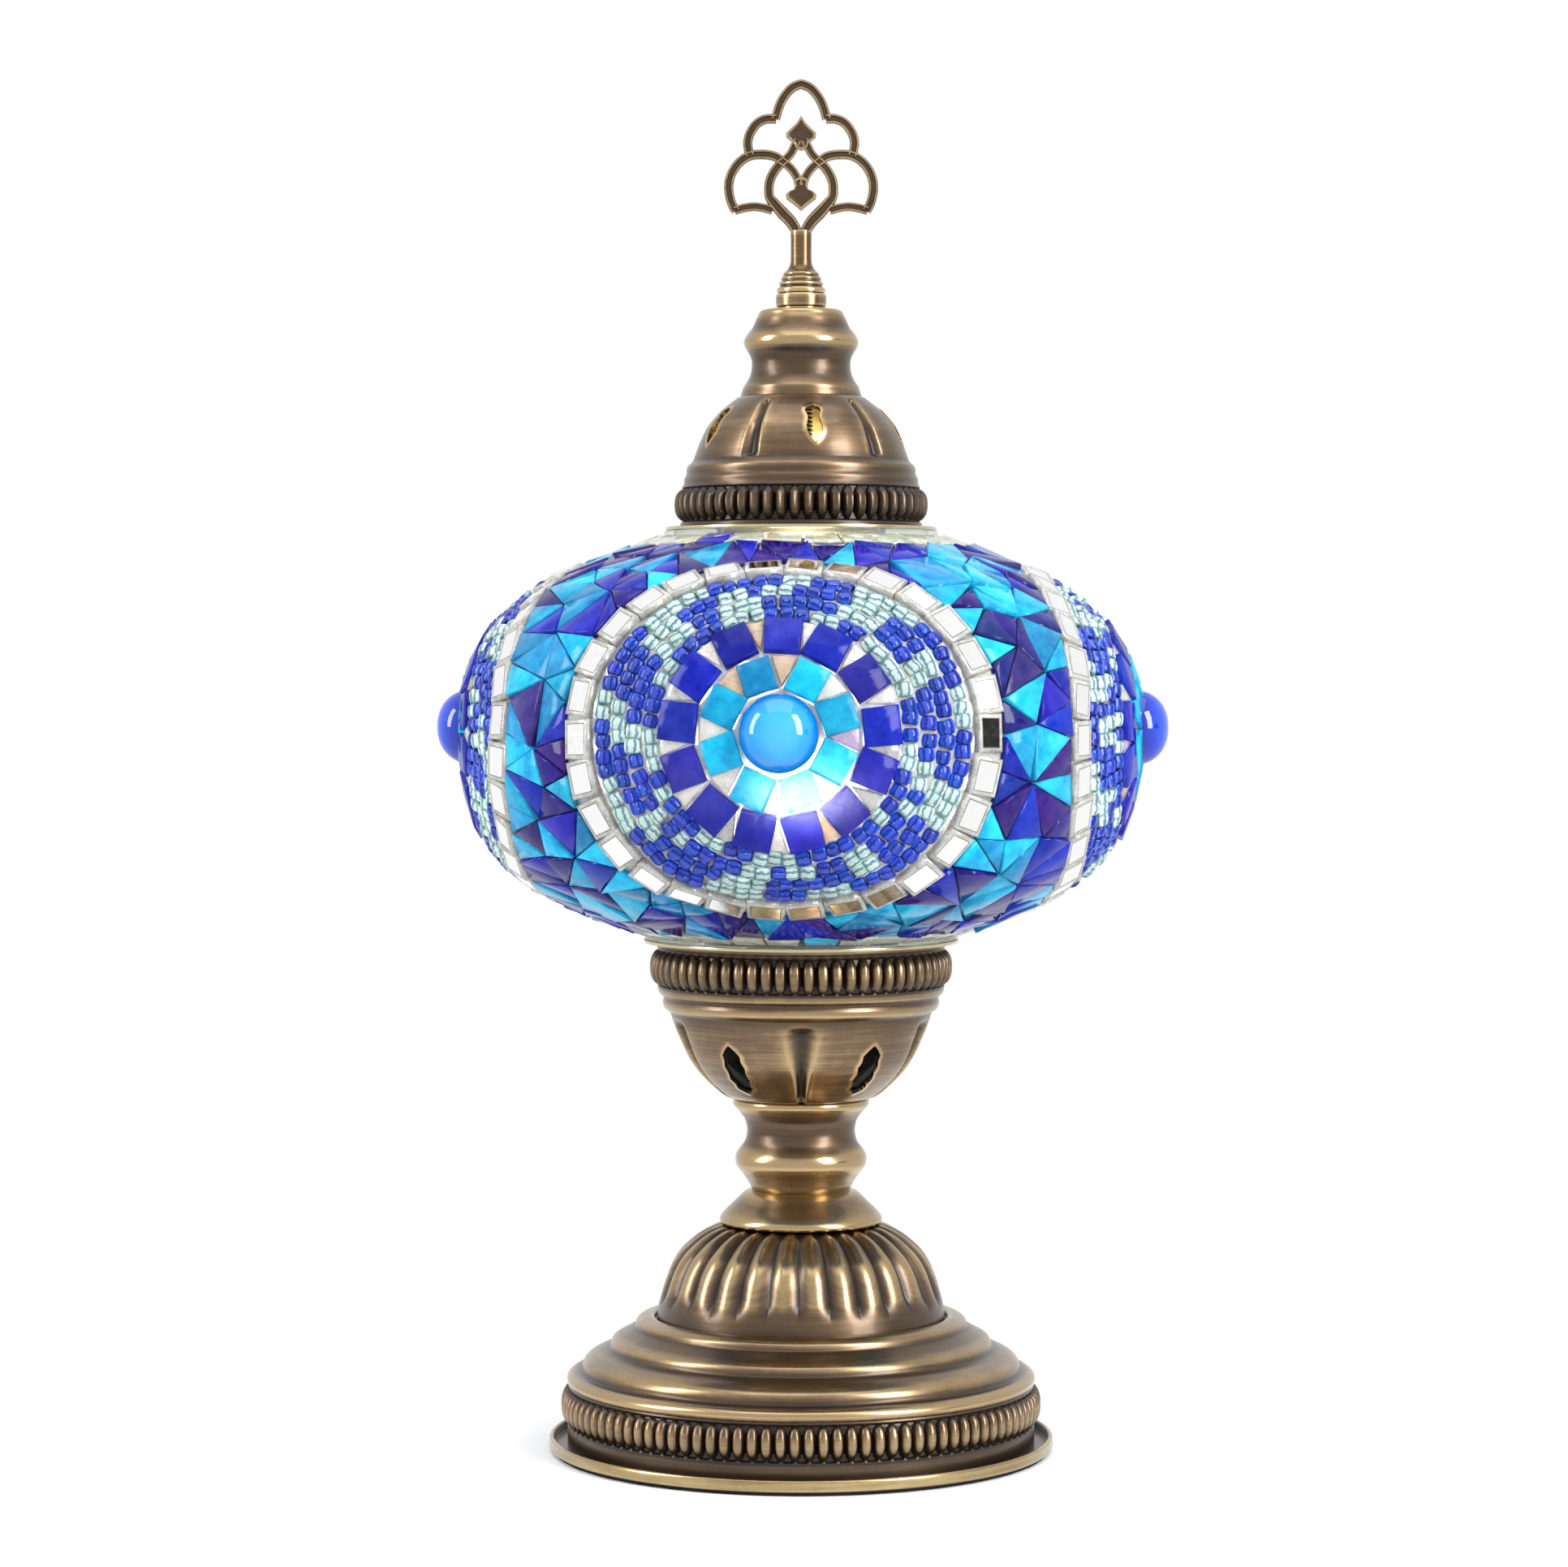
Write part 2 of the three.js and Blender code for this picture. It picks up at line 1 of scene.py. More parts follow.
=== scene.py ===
import math
import random

import bpy
import numpy as np
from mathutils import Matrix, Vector
from mathutils.geometry import delaunay_2d_cdt
from mathutils.kdtree import KDTree


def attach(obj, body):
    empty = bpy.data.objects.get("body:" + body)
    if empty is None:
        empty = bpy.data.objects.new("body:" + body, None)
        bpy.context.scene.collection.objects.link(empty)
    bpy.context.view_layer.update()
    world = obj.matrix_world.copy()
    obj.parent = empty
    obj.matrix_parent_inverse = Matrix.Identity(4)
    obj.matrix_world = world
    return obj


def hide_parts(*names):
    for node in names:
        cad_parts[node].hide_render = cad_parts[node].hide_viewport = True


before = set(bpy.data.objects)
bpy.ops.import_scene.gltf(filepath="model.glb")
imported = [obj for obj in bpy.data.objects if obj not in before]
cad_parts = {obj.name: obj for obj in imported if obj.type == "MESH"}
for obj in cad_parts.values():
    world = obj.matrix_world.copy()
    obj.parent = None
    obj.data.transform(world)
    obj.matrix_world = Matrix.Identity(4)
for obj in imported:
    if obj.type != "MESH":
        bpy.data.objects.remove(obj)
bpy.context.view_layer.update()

rng = random.Random(7)
nrng = np.random.default_rng(7)
scene = bpy.context.scene
MM = 0.001

# ------------------------------------------------------------------ camera
cam_data = bpy.data.cameras.new("camera")
cam_data.sensor_width = 36.0
cam_data.sensor_fit = "HORIZONTAL"
cam_data.lens = 97.4
cam_data.clip_start = 0.05
cam_data.clip_end = 30
camera = bpy.data.objects.new("camera", cam_data)
scene.collection.objects.link(camera)
camera.location = (-0.0042, -1.045, 0.1976)
camera.rotation_euler = (math.radians(90 - 1.814), 0, 0)
scene.camera = camera

scene.view_settings.view_transform = "Standard"
scene.view_settings.look = "None"
scene.view_settings.exposure = 0.0
scene.cycles.use_denoising = True
scene.cycles.max_bounces = 14
scene.cycles.transparent_max_bounces = 16
scene.cycles.sample_clamp_indirect = 6.0
scene.cycles.caustics_reflective = False
scene.cycles.caustics_refractive = False


# ------------------------------------------------------------------ node helpers
class Nodes:
    def __init__(self, tree):
        self.t = tree
        tree.nodes.clear()

    def new(self, kind, **props):
        n = self.t.nodes.new(kind)
        for k, v in props.items():
            setattr(n, k, v)
        return n

    def link(self, a, b):
        self.t.links.new(a, b)

    def put(self, socket, value):
        if isinstance(value, bpy.types.NodeSocket):
            self.link(value, socket)
        elif value is not None:
            if hasattr(socket, "default_value"):
                if isinstance(value, (tuple, list)) and len(value) == 3 and socket.type == "RGBA":
                    value = (*value, 1.0)
                socket.default_value = value

    def math(self, op, a, b=None, c=None, clamp=False):
        n = self.new("ShaderNodeMath", operation=op, use_clamp=clamp)
        self.put(n.inputs[0], a)
        self.put(n.inputs[1], b)
        self.put(n.inputs[2], c)
        return n.outputs[0]

    def vec(self, op, a, b=None, scale=None):
        n = self.new("ShaderNodeVectorMath", operation=op)
        self.put(n.inputs[0], a)
        self.put(n.inputs[1], b)
        if scale is not None:
            self.put(n.inputs[3], scale)
        return n.outputs[1] if op in ("LENGTH", "DOT_PRODUCT", "DISTANCE") else n.outputs[0]

    def attr(self, name, out=2):
        n = self.new("ShaderNodeAttribute", attribute_name=name)
        return n.outputs[out]

    def noise(self, vector, scale, detail=3.0, rough=0.5):
        n = self.new("ShaderNodeTexNoise")
        self.put(n.inputs["Vector"], vector)
        n.inputs["Scale"].default_value = scale
        n.inputs["Detail"].default_value = detail
        n.inputs["Roughness"].default_value = rough
        return n.outputs["Fac"]

    def ramp(self, fac, stops, interp="LINEAR"):
        n = self.new("ShaderNodeValToRGB")
        cr = n.color_ramp
        cr.interpolation = interp
        while len(cr.elements) > 1:
            cr.elements.remove(cr.elements[-1])
        cr.elements[0].position = stops[0][0]
        cr.elements[0].color = (*stops[0][1], 1.0)
        for p, c in stops[1:]:
            e = cr.elements.new(p)
            e.color = (*c, 1.0)
        self.put(n.inputs[0], fac)
        return n.outputs[0]

    def mix(self, fac, a, b, blend="MIX"):
        n = self.new("ShaderNodeMix", data_type="RGBA", blend_type=blend)
        self.put(n.inputs[0], fac)
        self.put(n.inputs[6], a)
        self.put(n.inputs[7], b)
        return n.outputs[2]

    def range(self, v, a, b, c, d, clamp=True):
        n = self.new("ShaderNodeMapRange", clamp=clamp)
        self.put(n.inputs[0], v)
        for i, x in zip((1, 2, 3, 4), (a, b, c, d)):
            self.put(n.inputs[i], x)
        return n.outputs[0]

    def bump(self, height, strength, distance, normal=None):
        n = self.new("ShaderNodeBump")
        n.inputs["Strength"].default_value = strength
        n.inputs["Distance"].default_value = distance
        self.put(n.inputs["Height"], height)
        if normal is not None:
            self.put(n.inputs["Normal"], normal)
        return n.outputs[0]

    def object_coords(self):
        return self.new("ShaderNodeTexCoord").outputs["Object"]

    def principled(self, **v):
        n = self.new("ShaderNodeBsdfPrincipled")
        for k, x in v.items():
            self.put(n.inputs[k.replace("_", " ")], x)
        return n

    def out(self, shader):
        n = self.new("ShaderNodeOutputMaterial")
        self.link(shader, n.inputs["Surface"])


def material(name):
    m = bpy.data.materials.new(name)
    m.use_nodes = True
    return m, Nodes(m.node_tree)


def turned_lines(n, co, fine=5200.0, around=26.0):
    """Fine lines left by turning: they run round the axis and vary along the profile."""
    flat = n.vec("MULTIPLY", co, (1.0, 1.0, 0.0))
    r = n.vec("LENGTH", flat)
    sep = n.new("ShaderNodeSeparateXYZ")
    n.put(sep.inputs[0], co)
    along = n.math("MULTIPLY_ADD", r, 0.8, sep.outputs[2])
    comb = n.new("ShaderNodeCombineXYZ")
    n.put(comb.inputs[0], n.math("MULTIPLY", sep.outputs[0], around))
    n.put(comb.inputs[1], n.math("MULTIPLY", sep.outputs[1], around))
    n.put(comb.inputs[2], n.math("MULTIPLY", along, fine / 8))
    return n.noise(comb.outputs[0], 1.6, 4.0, 0.62)


def brass(name, dark, mid, bright, rough=0.3, bias=0.0, contrast=1.0, bump=0.10):
    m, n = material(name)
    co = n.object_coords()
    relief = n.attr("relief")
    lines = turned_lines(n, co)
    cloud = n.noise(co, 38.0, 3.0, 0.55)
    spots = n.noise(co, 420.0, 2.0, 0.6)
    f = n.math("MULTIPLY_ADD", n.math("SUBTRACT", relief, 0.5), contrast, 0.5 + bias)
    f = n.math("MULTIPLY_ADD", n.math("SUBTRACT", lines, 0.5), 0.42, f)
    f = n.math("MULTIPLY_ADD", n.math("SUBTRACT", cloud, 0.5), 0.34, f)
    f = n.math("MULTIPLY_ADD", n.math("SUBTRACT", spots, 0.5), 0.10, f, clamp=True)
    col = n.ramp(f, [(0.0, dark), (0.25, tuple(0.62 * d + 0.38 * x for d, x in zip(dark, mid))), (0.5, mid), (0.78, bright),
                     (1.0, tuple(min(1.0, 1.12 * b) for b in bright))])
    metal = n.range(f, 0.0, 0.4, 0.6, 1.0)
    ro = n.math("MULTIPLY_ADD", n.math("SUBTRACT", 0.55, f), 0.22, rough)
    ro = n.math("MULTIPLY_ADD", n.math("SUBTRACT", lines, 0.5), 0.10, ro, clamp=True)
    nor = n.bump(lines, bump, 0.0002)
    p = n.principled(Base_Color=col, Metallic=metal, Roughness=ro, Normal=nor, Coat_Weight=0.25, Coat_Roughness=0.12)
    n.out(p.outputs[0])
    return m


ANTIQUE = brass("antique_brass", (0.016, 0.010, 0.007), (0.148, 0.098, 0.058), (0.385, 0.275, 0.143), 0.30, -0.01, 0.95)
DARKER = brass("dark_antique_brass", (0.010, 0.007, 0.005), (0.085, 0.056, 0.036), (0.260, 0.190, 0.115), 0.27, -0.05, 1.0)
POLISHED = brass("polished_brass", (0.016, 0.011, 0.006), (0.28, 0.20, 0.09), (0.56, 0.43, 0.22), 0.24, 0.03, 0.9, 0.06)
FINIAL = brass("cast_brass", (0.042, 0.023, 0.012), (0.165, 0.104, 0.050), (0.50, 0.37, 0.20), 0.24, 0.0, 0.95, 0.04)
# Inner face of the cap: brass painted bright gold, standing in for the bulb's light shining up into the cap.
LAMPLIT_INSIDE = brass("brass_inside_painted_lamplight", (0.20, 0.13, 0.04), (0.62, 0.42, 0.13), (0.86, 0.64, 0.26), 0.34, 0.1, 0.9, 0.06)
RING = brass("pale_brass", (0.06, 0.05, 0.025), (0.30, 0.25, 0.135), (0.56, 0.47, 0.28), 0.26, 0.02, 0.9, 0.06)


def steel_material():
    m, n = material("zinc_steel")
    co = n.object_coords()
    a = n.noise(co, 900.0, 3.0, 0.6)
    b = n.noise(co, 60.0, 2.0, 0.5)
    f = n.math("MULTIPLY_ADD", a, 0.5, n.math("MULTIPLY", b, 0.5))
    col = n.ramp(f, [(0.2, (0.11, 0.11, 0.11)), (0.55, (0.24, 0.245, 0.25)), (0.9, (0.40, 0.40, 0.39))])
    p = n.principled(Base_Color=col, Metallic=1.0, Roughness=n.range(f, 0.0, 1.0, 0.28, 0.5), Normal=n.bump(a, 0.12, 0.0001))
    n.out(p.outputs[0])
    return m


def plain_material(name, low, high, rough, scale, bump, distance=0.0002, spec=0.5):
    m, n = material(name)
    co = n.object_coords()
    a = n.noise(co, scale, 5.0, 0.65)
    col = n.ramp(a, [(0.25, low), (0.75, high)])
    p = n.principled(Base_Color=col, Roughness=n.range(a, 0.2, 0.8, rough - 0.06, rough + 0.06), Normal=n.bump(a, bump, distance))
    p.inputs["Specular IOR Level"].default_value = spec
    n.out(p.outputs[0])
    return m


STEEL = steel_material()
PHENOLIC = plain_material("black_phenolic", (0.010, 0.009, 0.008), (0.024, 0.021, 0.018), 0.38, 500.0, 0.1)
RUBBER = plain_material("black_rubber", (0.010, 0.010, 0.010), (0.028, 0.028, 0.028), 0.7, 900.0, 0.25)
FELT = plain_material("black_felt", (0.006, 0.006, 0.007), (0.040, 0.040, 0.044), 0.95, 2600.0, 1.0, 0.0006, 0.1)


def glow(n, co, near, far):
    """Light from the lamp inside: strongest level with the bulb, fading above and below it."""
    sep = n.new("ShaderNodeSeparateXYZ")
    n.put(sep.inputs[0], co)
    d = n.math("ABSOLUTE", n.math("SUBTRACT", sep.outputs[2], 0.168))
    return n.range(d, 0.006, 0.036, near, far)


def tile_material(name, rough=0.10, through=0.30, near=0.30, far=0.08, streak_and_glint=0.30, bump=0.12):
    """Pressed or cut coloured glass: 'tint' is the piece's own colour."""
    m, n = material(name)
    co = n.object_coords()
    tint = n.attr("tint", 0)
    seed = n.attr("seed")
    shift = n.new("ShaderNodeCombineXYZ")
    n.put(shift.inputs[0], n.math("MULTIPLY", seed, 3.7))
    n.put(shift.inputs[1], n.math("MULTIPLY", seed, 1.9))
    n.put(shift.inputs[2], seed)
    local = n.vec("ADD", co, shift.outputs[0])
    wave = n.noise(local, 210.0, 4.0, 0.6)
    grain = n.noise(local, 1500.0, 2.0, 0.5)
    dark = n.vec("MULTIPLY", tint, (0.40, 0.50, 0.64))
    lite = n.mix(0.014, n.vec("MULTIPLY", tint, (1.5, 1.22, 1.06)), (1.0, 1.0, 1.0))
    f = n.math("MULTIPLY_ADD", n.math("SUBTRACT", wave, 0.5), 2.3, n.math("MULTIPLY_ADD", n.math("SUBTRACT", grain, 0.5), streak_and_glint, 0.5), clamp=True)
    col = n.mix(f, dark, lite)
    nor = n.bump(wave, bump, 0.0012, n.bump(grain, 0.10, 0.0002))
    p = n.principled(Base_Color=col, Roughness=n.range(grain, 0.3, 0.7, rough * 0.6, rough * 1.5), Normal=nor, Emission_Color=col,
                     Emission_Strength=glow(n, co, near, far))
    p.inputs["Specular IOR Level"].default_value = 0.22
    tr = n.new("ShaderNodeBsdfTransparent")
    root = n.new("ShaderNodeGamma")
    n.put(root.inputs[0], tint)
    root.inputs[1].default_value = 0.5
    sp = n.new("ShaderNodeSeparateXYZ")
    n.put(sp.inputs[0], co)
    # Painted glare: at the bulb's height the see-through part of the glass is whitened, so the bulb shows through
    # untinted as a white hot spot.
    painted_glare_band = n.range(n.math("ABSOLUTE", n.math("SUBTRACT", sp.outputs[2], 0.1645)), 0.002, 0.012, 0.50, 0.02)
    n.put(tr.inputs[0], n.mix(painted_glare_band, root.outputs[0], (1.0, 1.0, 1.0)))
    mx = n.new("ShaderNodeMixShader")
    mx.inputs[0].default_value = through
    n.link(p.outputs[0], mx.inputs[1])
    n.link(tr.outputs[0], mx.inputs[2])
    n.out(mx.outputs[0])
    return m


def bead_material():
    m, n = material("seed_beads")
    co = n.object_coords()
    tint = n.attr("tint", 0)
    ang = n.attr("ang")
    w = n.noise(co, 900.0, 2.0, 0.5)
    stripes = n.math("SINE", n.math("MULTIPLY_ADD", w, 5.0, n.math("MULTIPLY", ang, 6.28318 * 7)))
    f = n.range(stripes, -1.0, 1.0, 0.0, 1.0)
    dark = n.vec("MULTIPLY", tint, (0.20, 0.26, 0.44))
    lite = n.mix(0.02, n.vec("MULTIPLY", tint, (1.45, 1.45, 1.25)), (1.0, 1.0, 1.0))
    col = n.mix(f, dark, lite)
    # Painted glint: a thin bright blue-white streak along each bead.
    streak_and_glint = n.range(n.math("SINE", n.math("MULTIPLY_ADD", w, 4.0, n.math("MULTIPLY_ADD", ang, 6.28318 * 5, 1.3))), 0.86, 1.0, 0.0, 0.42)
    col = n.mix(streak_and_glint, col, n.mix(0.5, n.vec("MULTIPLY", tint, (3.0, 2.6, 1.6)), (0.86, 0.92, 1.0)))
    # Painted shade: each bead is darkened towards its hole ends, where it meets its neighbours in the row.
    col = n.mix(n.range(n.attr("rim"), 0.55, 0.98, 0.0, 0.9), col, n.vec("MULTIPLY", tint, (0.25, 0.42, 0.46)))
    p = n.principled(Base_Color=col, Roughness=0.06, Emission_Color=col, Emission_Strength=glow(n, co, 0.28, 0.05))
    p.inputs["Specular IOR Level"].default_value = 0.38
    tr = n.new("ShaderNodeBsdfTransparent")
    n.put(tr.inputs[0], n.mix(0.03, tint, (1.0, 1.0, 1.0)))
    mx = n.new("ShaderNodeMixShader")
    mx.inputs[0].default_value = 0.16
    n.link(p.outputs[0], mx.inputs[1])
    n.link(tr.outputs[0], mx.inputs[2])
    n.out(mx.outputs[0])
    return m


def mirror_material():
    m, n = material("mirror_face")
    co = n.object_coords()
    a = n.noise(co, 700.0, 4.0, 0.7)
    b = n.noise(co, 90.0, 2.0, 0.5)
    col = n.ramp(n.math("MULTIPLY_ADD", b, 0.4, n.math("MULTIPLY", a, 0.6)), [(0.26, (0.66, 0.65, 0.63)), (0.36, (0.93, 0.93, 0.93)), (0.8, (0.98, 0.98, 0.98))])
    p = n.principled(Base_Color=col, Metallic=1.0, Roughness=n.range(a, 0.3, 0.7, 0.03, 0.12), Normal=n.bump(b, 0.04, 0.001))
    n.out(p.outputs[0])
    return m


def clear_material(name, tint, rough, through, near, far, gold=0.0):
    m, n = material(name)
    co = n.object_coords()
    wave = n.noise(co, 260.0, 4.0, 0.65)
    grain = n.noise(co, 1800.0, 3.0, 0.6)
    low = tuple(0.50 * c for c in tint)
    col = n.ramp(n.math("MULTIPLY_ADD", wave, 0.6, n.math("MULTIPLY", grain, 0.4)),
                 [(0.34, low), (0.46, tint), (0.70, tuple(min(1.0, 0.5 + 0.55 * c) for c in tint))])
    col = n.mix(1.0, col, n.attr("tint", 0), "MULTIPLY")
    if gold:
        col = n.mix(n.range(n.noise(co, 330.0, 2.0, 0.5), 0.60, 0.68, 0.0, gold), col, (0.55, 0.38, 0.12))
    p = n.principled(Base_Color=col, Roughness=rough, Normal=n.bump(wave, 0.35, 0.0012), Emission_Color=col, Emission_Strength=glow(n, co, near, far))
    p.inputs["Specular IOR Level"].default_value = 0.8
    p.inputs["Coat Weight"].default_value = 0.6
    p.inputs["Coat Roughness"].default_value = 0.03
    tr = n.new("ShaderNodeBsdfTransparent")
    n.put(tr.inputs[0], n.mix(1.0, tuple(min(1.0, 0.4 + 0.6 * c) for c in tint), n.attr("tint", 0), "MULTIPLY"))
    mx = n.new("ShaderNodeMixShader")
    mx.inputs[0].default_value = through
    n.link(p.outputs[0], mx.inputs[1])
    n.link(tr.outputs[0], mx.inputs[2])
    n.out(mx.outputs[0])
    return m


def grout_material():
    m, n = material("resin_bed")
    co = n.object_coords()
    zone = n.attr("zone")
    a = n.noise(co, 700.0, 4.0, 0.65)
    b = n.noise(co, 150.0, 3.0, 0.6)
    f = n.math("MULTIPLY_ADD", a, 0.5, n.math("MULTIPLY", b, 0.5))
    pale = n.ramp(f, [(0.34, (0.36, 0.33, 0.31)), (0.5, (0.66, 0.65, 0.63)), (0.66, (0.90, 0.90, 0.88))])
    deep = n.ramp(f, [(0.3, (0.002, 0.003, 0.012)), (0.55, (0.008, 0.012, 0.06)), (0.72, (0.05, 0.07, 0.16))])
    col = n.mix(zone, deep, pale)
    p = n.principled(Base_Color=col, Roughness=0.28, Normal=n.bump(f, 0.5, 0.001), Emission_Color=col, Emission_Strength=glow(n, co, 0.16, 0.02))
    p.inputs["Specular IOR Level"].default_value = 0.5
    tr = n.new("ShaderNodeBsdfTransparent")
    mx = n.new("ShaderNodeMixShader")
    n.put(mx.inputs[0], n.range(zone, 0.0, 1.0, 0.04, 0.36))
    n.link(p.outputs[0], mx.inputs[1])
    n.link(tr.outputs[0], mx.inputs[2])
    n.out(mx.outputs[0])
    return m


def shell_glass_material():
    m, n = material("blown_glass")
    co = n.object_coords()
    a = n.noise(co, 60.0, 3.0, 0.5)
    p = n.principled(Base_Color=n.ramp(a, [(0.3, (0.78, 0.84, 0.82)), (0.7, (0.92, 0.95, 0.93))]), Roughness=0.08, Normal=n.bump(a, 0.15, 0.002))
    tr = n.new("ShaderNodeBsdfTransparent")
    n.put(tr.inputs[0], (0.93, 0.96, 0.95))
    fr = n.new("ShaderNodeFresnel")
    fr.inputs[0].default_value = 1.5
    mx = n.new("ShaderNodeMixShader")
    n.put(mx.inputs[0], n.math("MULTIPLY_ADD", fr.outputs[0], 0.75, 0.06, clamp=True))
    n.link(tr.outputs[0], mx.inputs[1])
    n.link(p.outputs[0], mx.inputs[2])
    n.out(mx.outputs[0])
    return m


def cabochon_material(name, core, mid, rim, power):
    """Domed glass: paler where it is thick and lit from behind, deeper towards its rim."""
    m, n = material(name)
    co = n.object_coords()
    h = n.attr("height")
    a = n.noise(co, 130.0, 3.0, 0.55)
    f = n.math("MULTIPLY_ADD", n.math("SUBTRACT", a, 0.5), 0.35, h, clamp=True)
    col = n.ramp(f, [(0.0, rim), (0.45, mid), (0.8, core), (1.0, tuple(min(1.0, c * 1.15 + 0.03) for c in core))])
    p = n.principled(Base_Color=col, Roughness=0.05, Normal=n.bump(a, 0.05, 0.001), Emission_Color=col, Emission_Strength=power)
    p.inputs["Specular IOR Level"].default_value = 0.7
    n.out(p.outputs[0])
    return m


def lamp_material():
    m, n = material("glowing_bulb")
    co = n.object_coords()
    sep = n.new("ShaderNodeSeparateXYZ")
    n.put(sep.inputs[0], co)
    d = n.math("ABSOLUTE", n.math("SUBTRACT", sep.outputs[2], 0.1615))
    fall = n.range(d, 0.002, 0.017, 1.0, 0.0)
    lw = n.new("ShaderNodeLayerWeight")
    lw.inputs[0].default_value = 0.5
    front = n.math("SUBTRACT", 1.0, lw.outputs["Facing"])
    hot = n.math("MULTIPLY", n.math("POWER", fall, 2.0), n.math("POWER", front, 4.5))
    frost = n.noise(co, 420.0, 4.0, 0.6)
    base = n.ramp(frost, [(0.3, (0.30, 0.27, 0.22)), (0.7, (0.44, 0.40, 0.33))])
    p = n.principled(Base_Color=base, Roughness=n.range(frost, 0.3, 0.7, 0.14, 0.24), Emission_Color=n.mix(front, (1.0, 0.78, 0.50), (1.0, 0.95, 0.87)),
                     Emission_Strength=n.math("MULTIPLY_ADD", hot, 360.0, n.math("MULTIPLY_ADD", front, 0.38, 0.06)))
    n.out(p.outputs[0])
    return m


TILE = tile_material("cut_glass_tiles")
FIELD = tile_material("cut_glass_field", 0.08, 0.06, 0.10, 0.03, 0.3, 0.07)
BEAD = bead_material()
MIRROR = mirror_material()
CLEAR = clear_material("clear_chips", (0.66, 0.64, 0.60), 0.10, 0.34, 0.18, 0.04)
EDGE = clear_material("mirror_tile_edges", (0.39, 0.39, 0.355), 0.10, 0.20, 0.06, 0.01, 0.35)
LINE = plain_material("mirror_paint_line", (0.045, 0.045, 0.045), (0.16, 0.155, 0.15), 0.4, 900.0, 0.1)
FLANGE_GLASS = clear_material("pale_flange_tiles", (0.36, 0.38, 0.29), 0.10, 0.10, 0.05, 0.01, 0.9)
GROUT = grout_material()
GLASS = shell_glass_material()
CAB_TURQ = cabochon_material("turquoise_cabochon", (0.006, 0.28, 0.70), (0.0, 0.17, 0.60), (0.0, 0.05, 0.34), 0.06)
CAB_BLUE = cabochon_material("blue_cabochon", (0.01, 0.06, 0.55), (0.005, 0.03, 0.40), (0.0, 0.01, 0.18), 0.06)
LAMP = lamp_material()


# ------------------------------------------------------------------ mesh helpers
def build(name, verts, faces, body, mats, nodes=(), attrs=None, smooth=True, angle=None, mat_index=None):
    me = bpy.data.meshes.new(name)
    V = np.ascontiguousarray(verts, dtype=np.float64) * MM
    groups = [np.asarray(f) for f in (faces if isinstance(faces, list) else [faces]) if len(f)]
    idx = np.concatenate([g.ravel() for g in groups]).astype(np.int32)
    tot = np.concatenate([np.full(len(g), g.shape[1], dtype=np.int32) for g in groups])
    start = np.concatenate([[0], np.cumsum(tot)[:-1]]).astype(np.int32)
    me.vertices.add(len(V))
    me.vertices.foreach_set("co", V.astype(np.float32).ravel())
    me.loops.add(len(idx))
    me.polygons.add(len(tot))
    me.loops.foreach_set("vertex_index", idx)
    me.polygons.foreach_set("loop_start", start)
    for m in mats:
        me.materials.append(m)
    if mat_index is not None:
        me.polygons.foreach_set("material_index", np.asarray(mat_index, dtype=np.int32))
    me.update(calc_edges=True)
    for k, a in (attrs or {}).items():
        a = np.asarray(a, dtype=np.float32)
        if a.ndim == 2:
            at = me.attributes.new(k, "FLOAT_COLOR", "POINT")
            at.data.foreach_set("color", np.concatenate([a, np.ones((len(a), 1), np.float32)], axis=1).ravel())
        else:
            at = me.attributes.new(k, "FLOAT", "POINT")
            at.data.foreach_set("value", a)
    if smooth:
        me.shade_smooth()
        if angle:
            me.set_sharp_from_angle(angle=math.radians(angle))
    ob = bpy.data.objects.new(name, me)
    scene.collection.objects.link(ob)
    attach(ob, body)
    if nodes:
        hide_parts(*nodes)
    return ob


def curve_points(pts, step):
    """Evenly spaced points on a smooth line through pts; a third value of 1 marks a sharp corner."""
    runs, run = [], []
    for i, p in enumerate(pts):
        run.append(np.array(p[:2], float))
        if len(p) > 2 and p[2] and 0 < i < len(pts) - 1:
            runs.append(run)
            run = [np.array(p[:2], float)]
    runs.append(run)
    out = []
    for run in runs:
        P = np.array(run)
        if len(P) > 2:
            d = np.concatenate([[0], np.cumsum(np.linalg.norm(np.diff(P, axis=0), axis=1) ** 0.5)])
            E = np.vstack([2 * P[0] - P[1], P, 2 * P[-1] - P[-2]])
            de = np.concatenate([[-(d[1] - d[0])], d, [d[-1] + d[-1] - d[-2]]])
            dense = []
            for i in range(len(P) - 1):
                p0, p1, p2, p3 = E[i:i + 4]
                t0, t1, t2, t3 = de[i:i + 4]
                for t in np.linspace(t1, t2, 12, endpoint=False):
                    a1 = (t1 - t) / (t1 - t0) * p0 + (t - t0) / (t1 - t0) * p1
                    a2 = (t2 - t) / (t2 - t1) * p1 + (t - t1) / (t2 - t1) * p2
                    a3 = (t3 - t) / (t3 - t2) * p2 + (t - t2) / (t3 - t2) * p3
                    b1 = (t2 - t) / (t2 - t0) * a1 + (t - t0) / (t2 - t0) * a2
                    b2 = (t3 - t) / (t3 - t1) * a2 + (t - t1) / (t3 - t1) * a3
                    dense.append((t2 - t) / (t2 - t1) * b1 + (t - t1) / (t2 - t1) * b2)
            dense.append(P[-1])
            P = np.array(dense)
        L = np.concatenate([[0], np.cumsum(np.linalg.norm(np.diff(P, axis=0), axis=1))])
        n = max(2, int(round(L[-1] / step)) + 1)
        s = np.linspace(0, L[-1], n)
        Q = np.stack([np.interp(s, L, P[:, 0]), np.interp(s, L, P[:, 1])], axis=1)
        out.append(Q if not out else Q[1:])
    return np.vstack(out)


def left_normals(P, closed=False):
    if closed:
        T = np.roll(P, -1, axis=0) - np.roll(P, 1, axis=0)
    else:
        T = np.gradient(P, axis=0)
    T /= np.maximum(np.linalg.norm(T, axis=1, keepdims=True), 1e-9)
    return np.stack([-T[:, 1], T[:, 0]], axis=1)


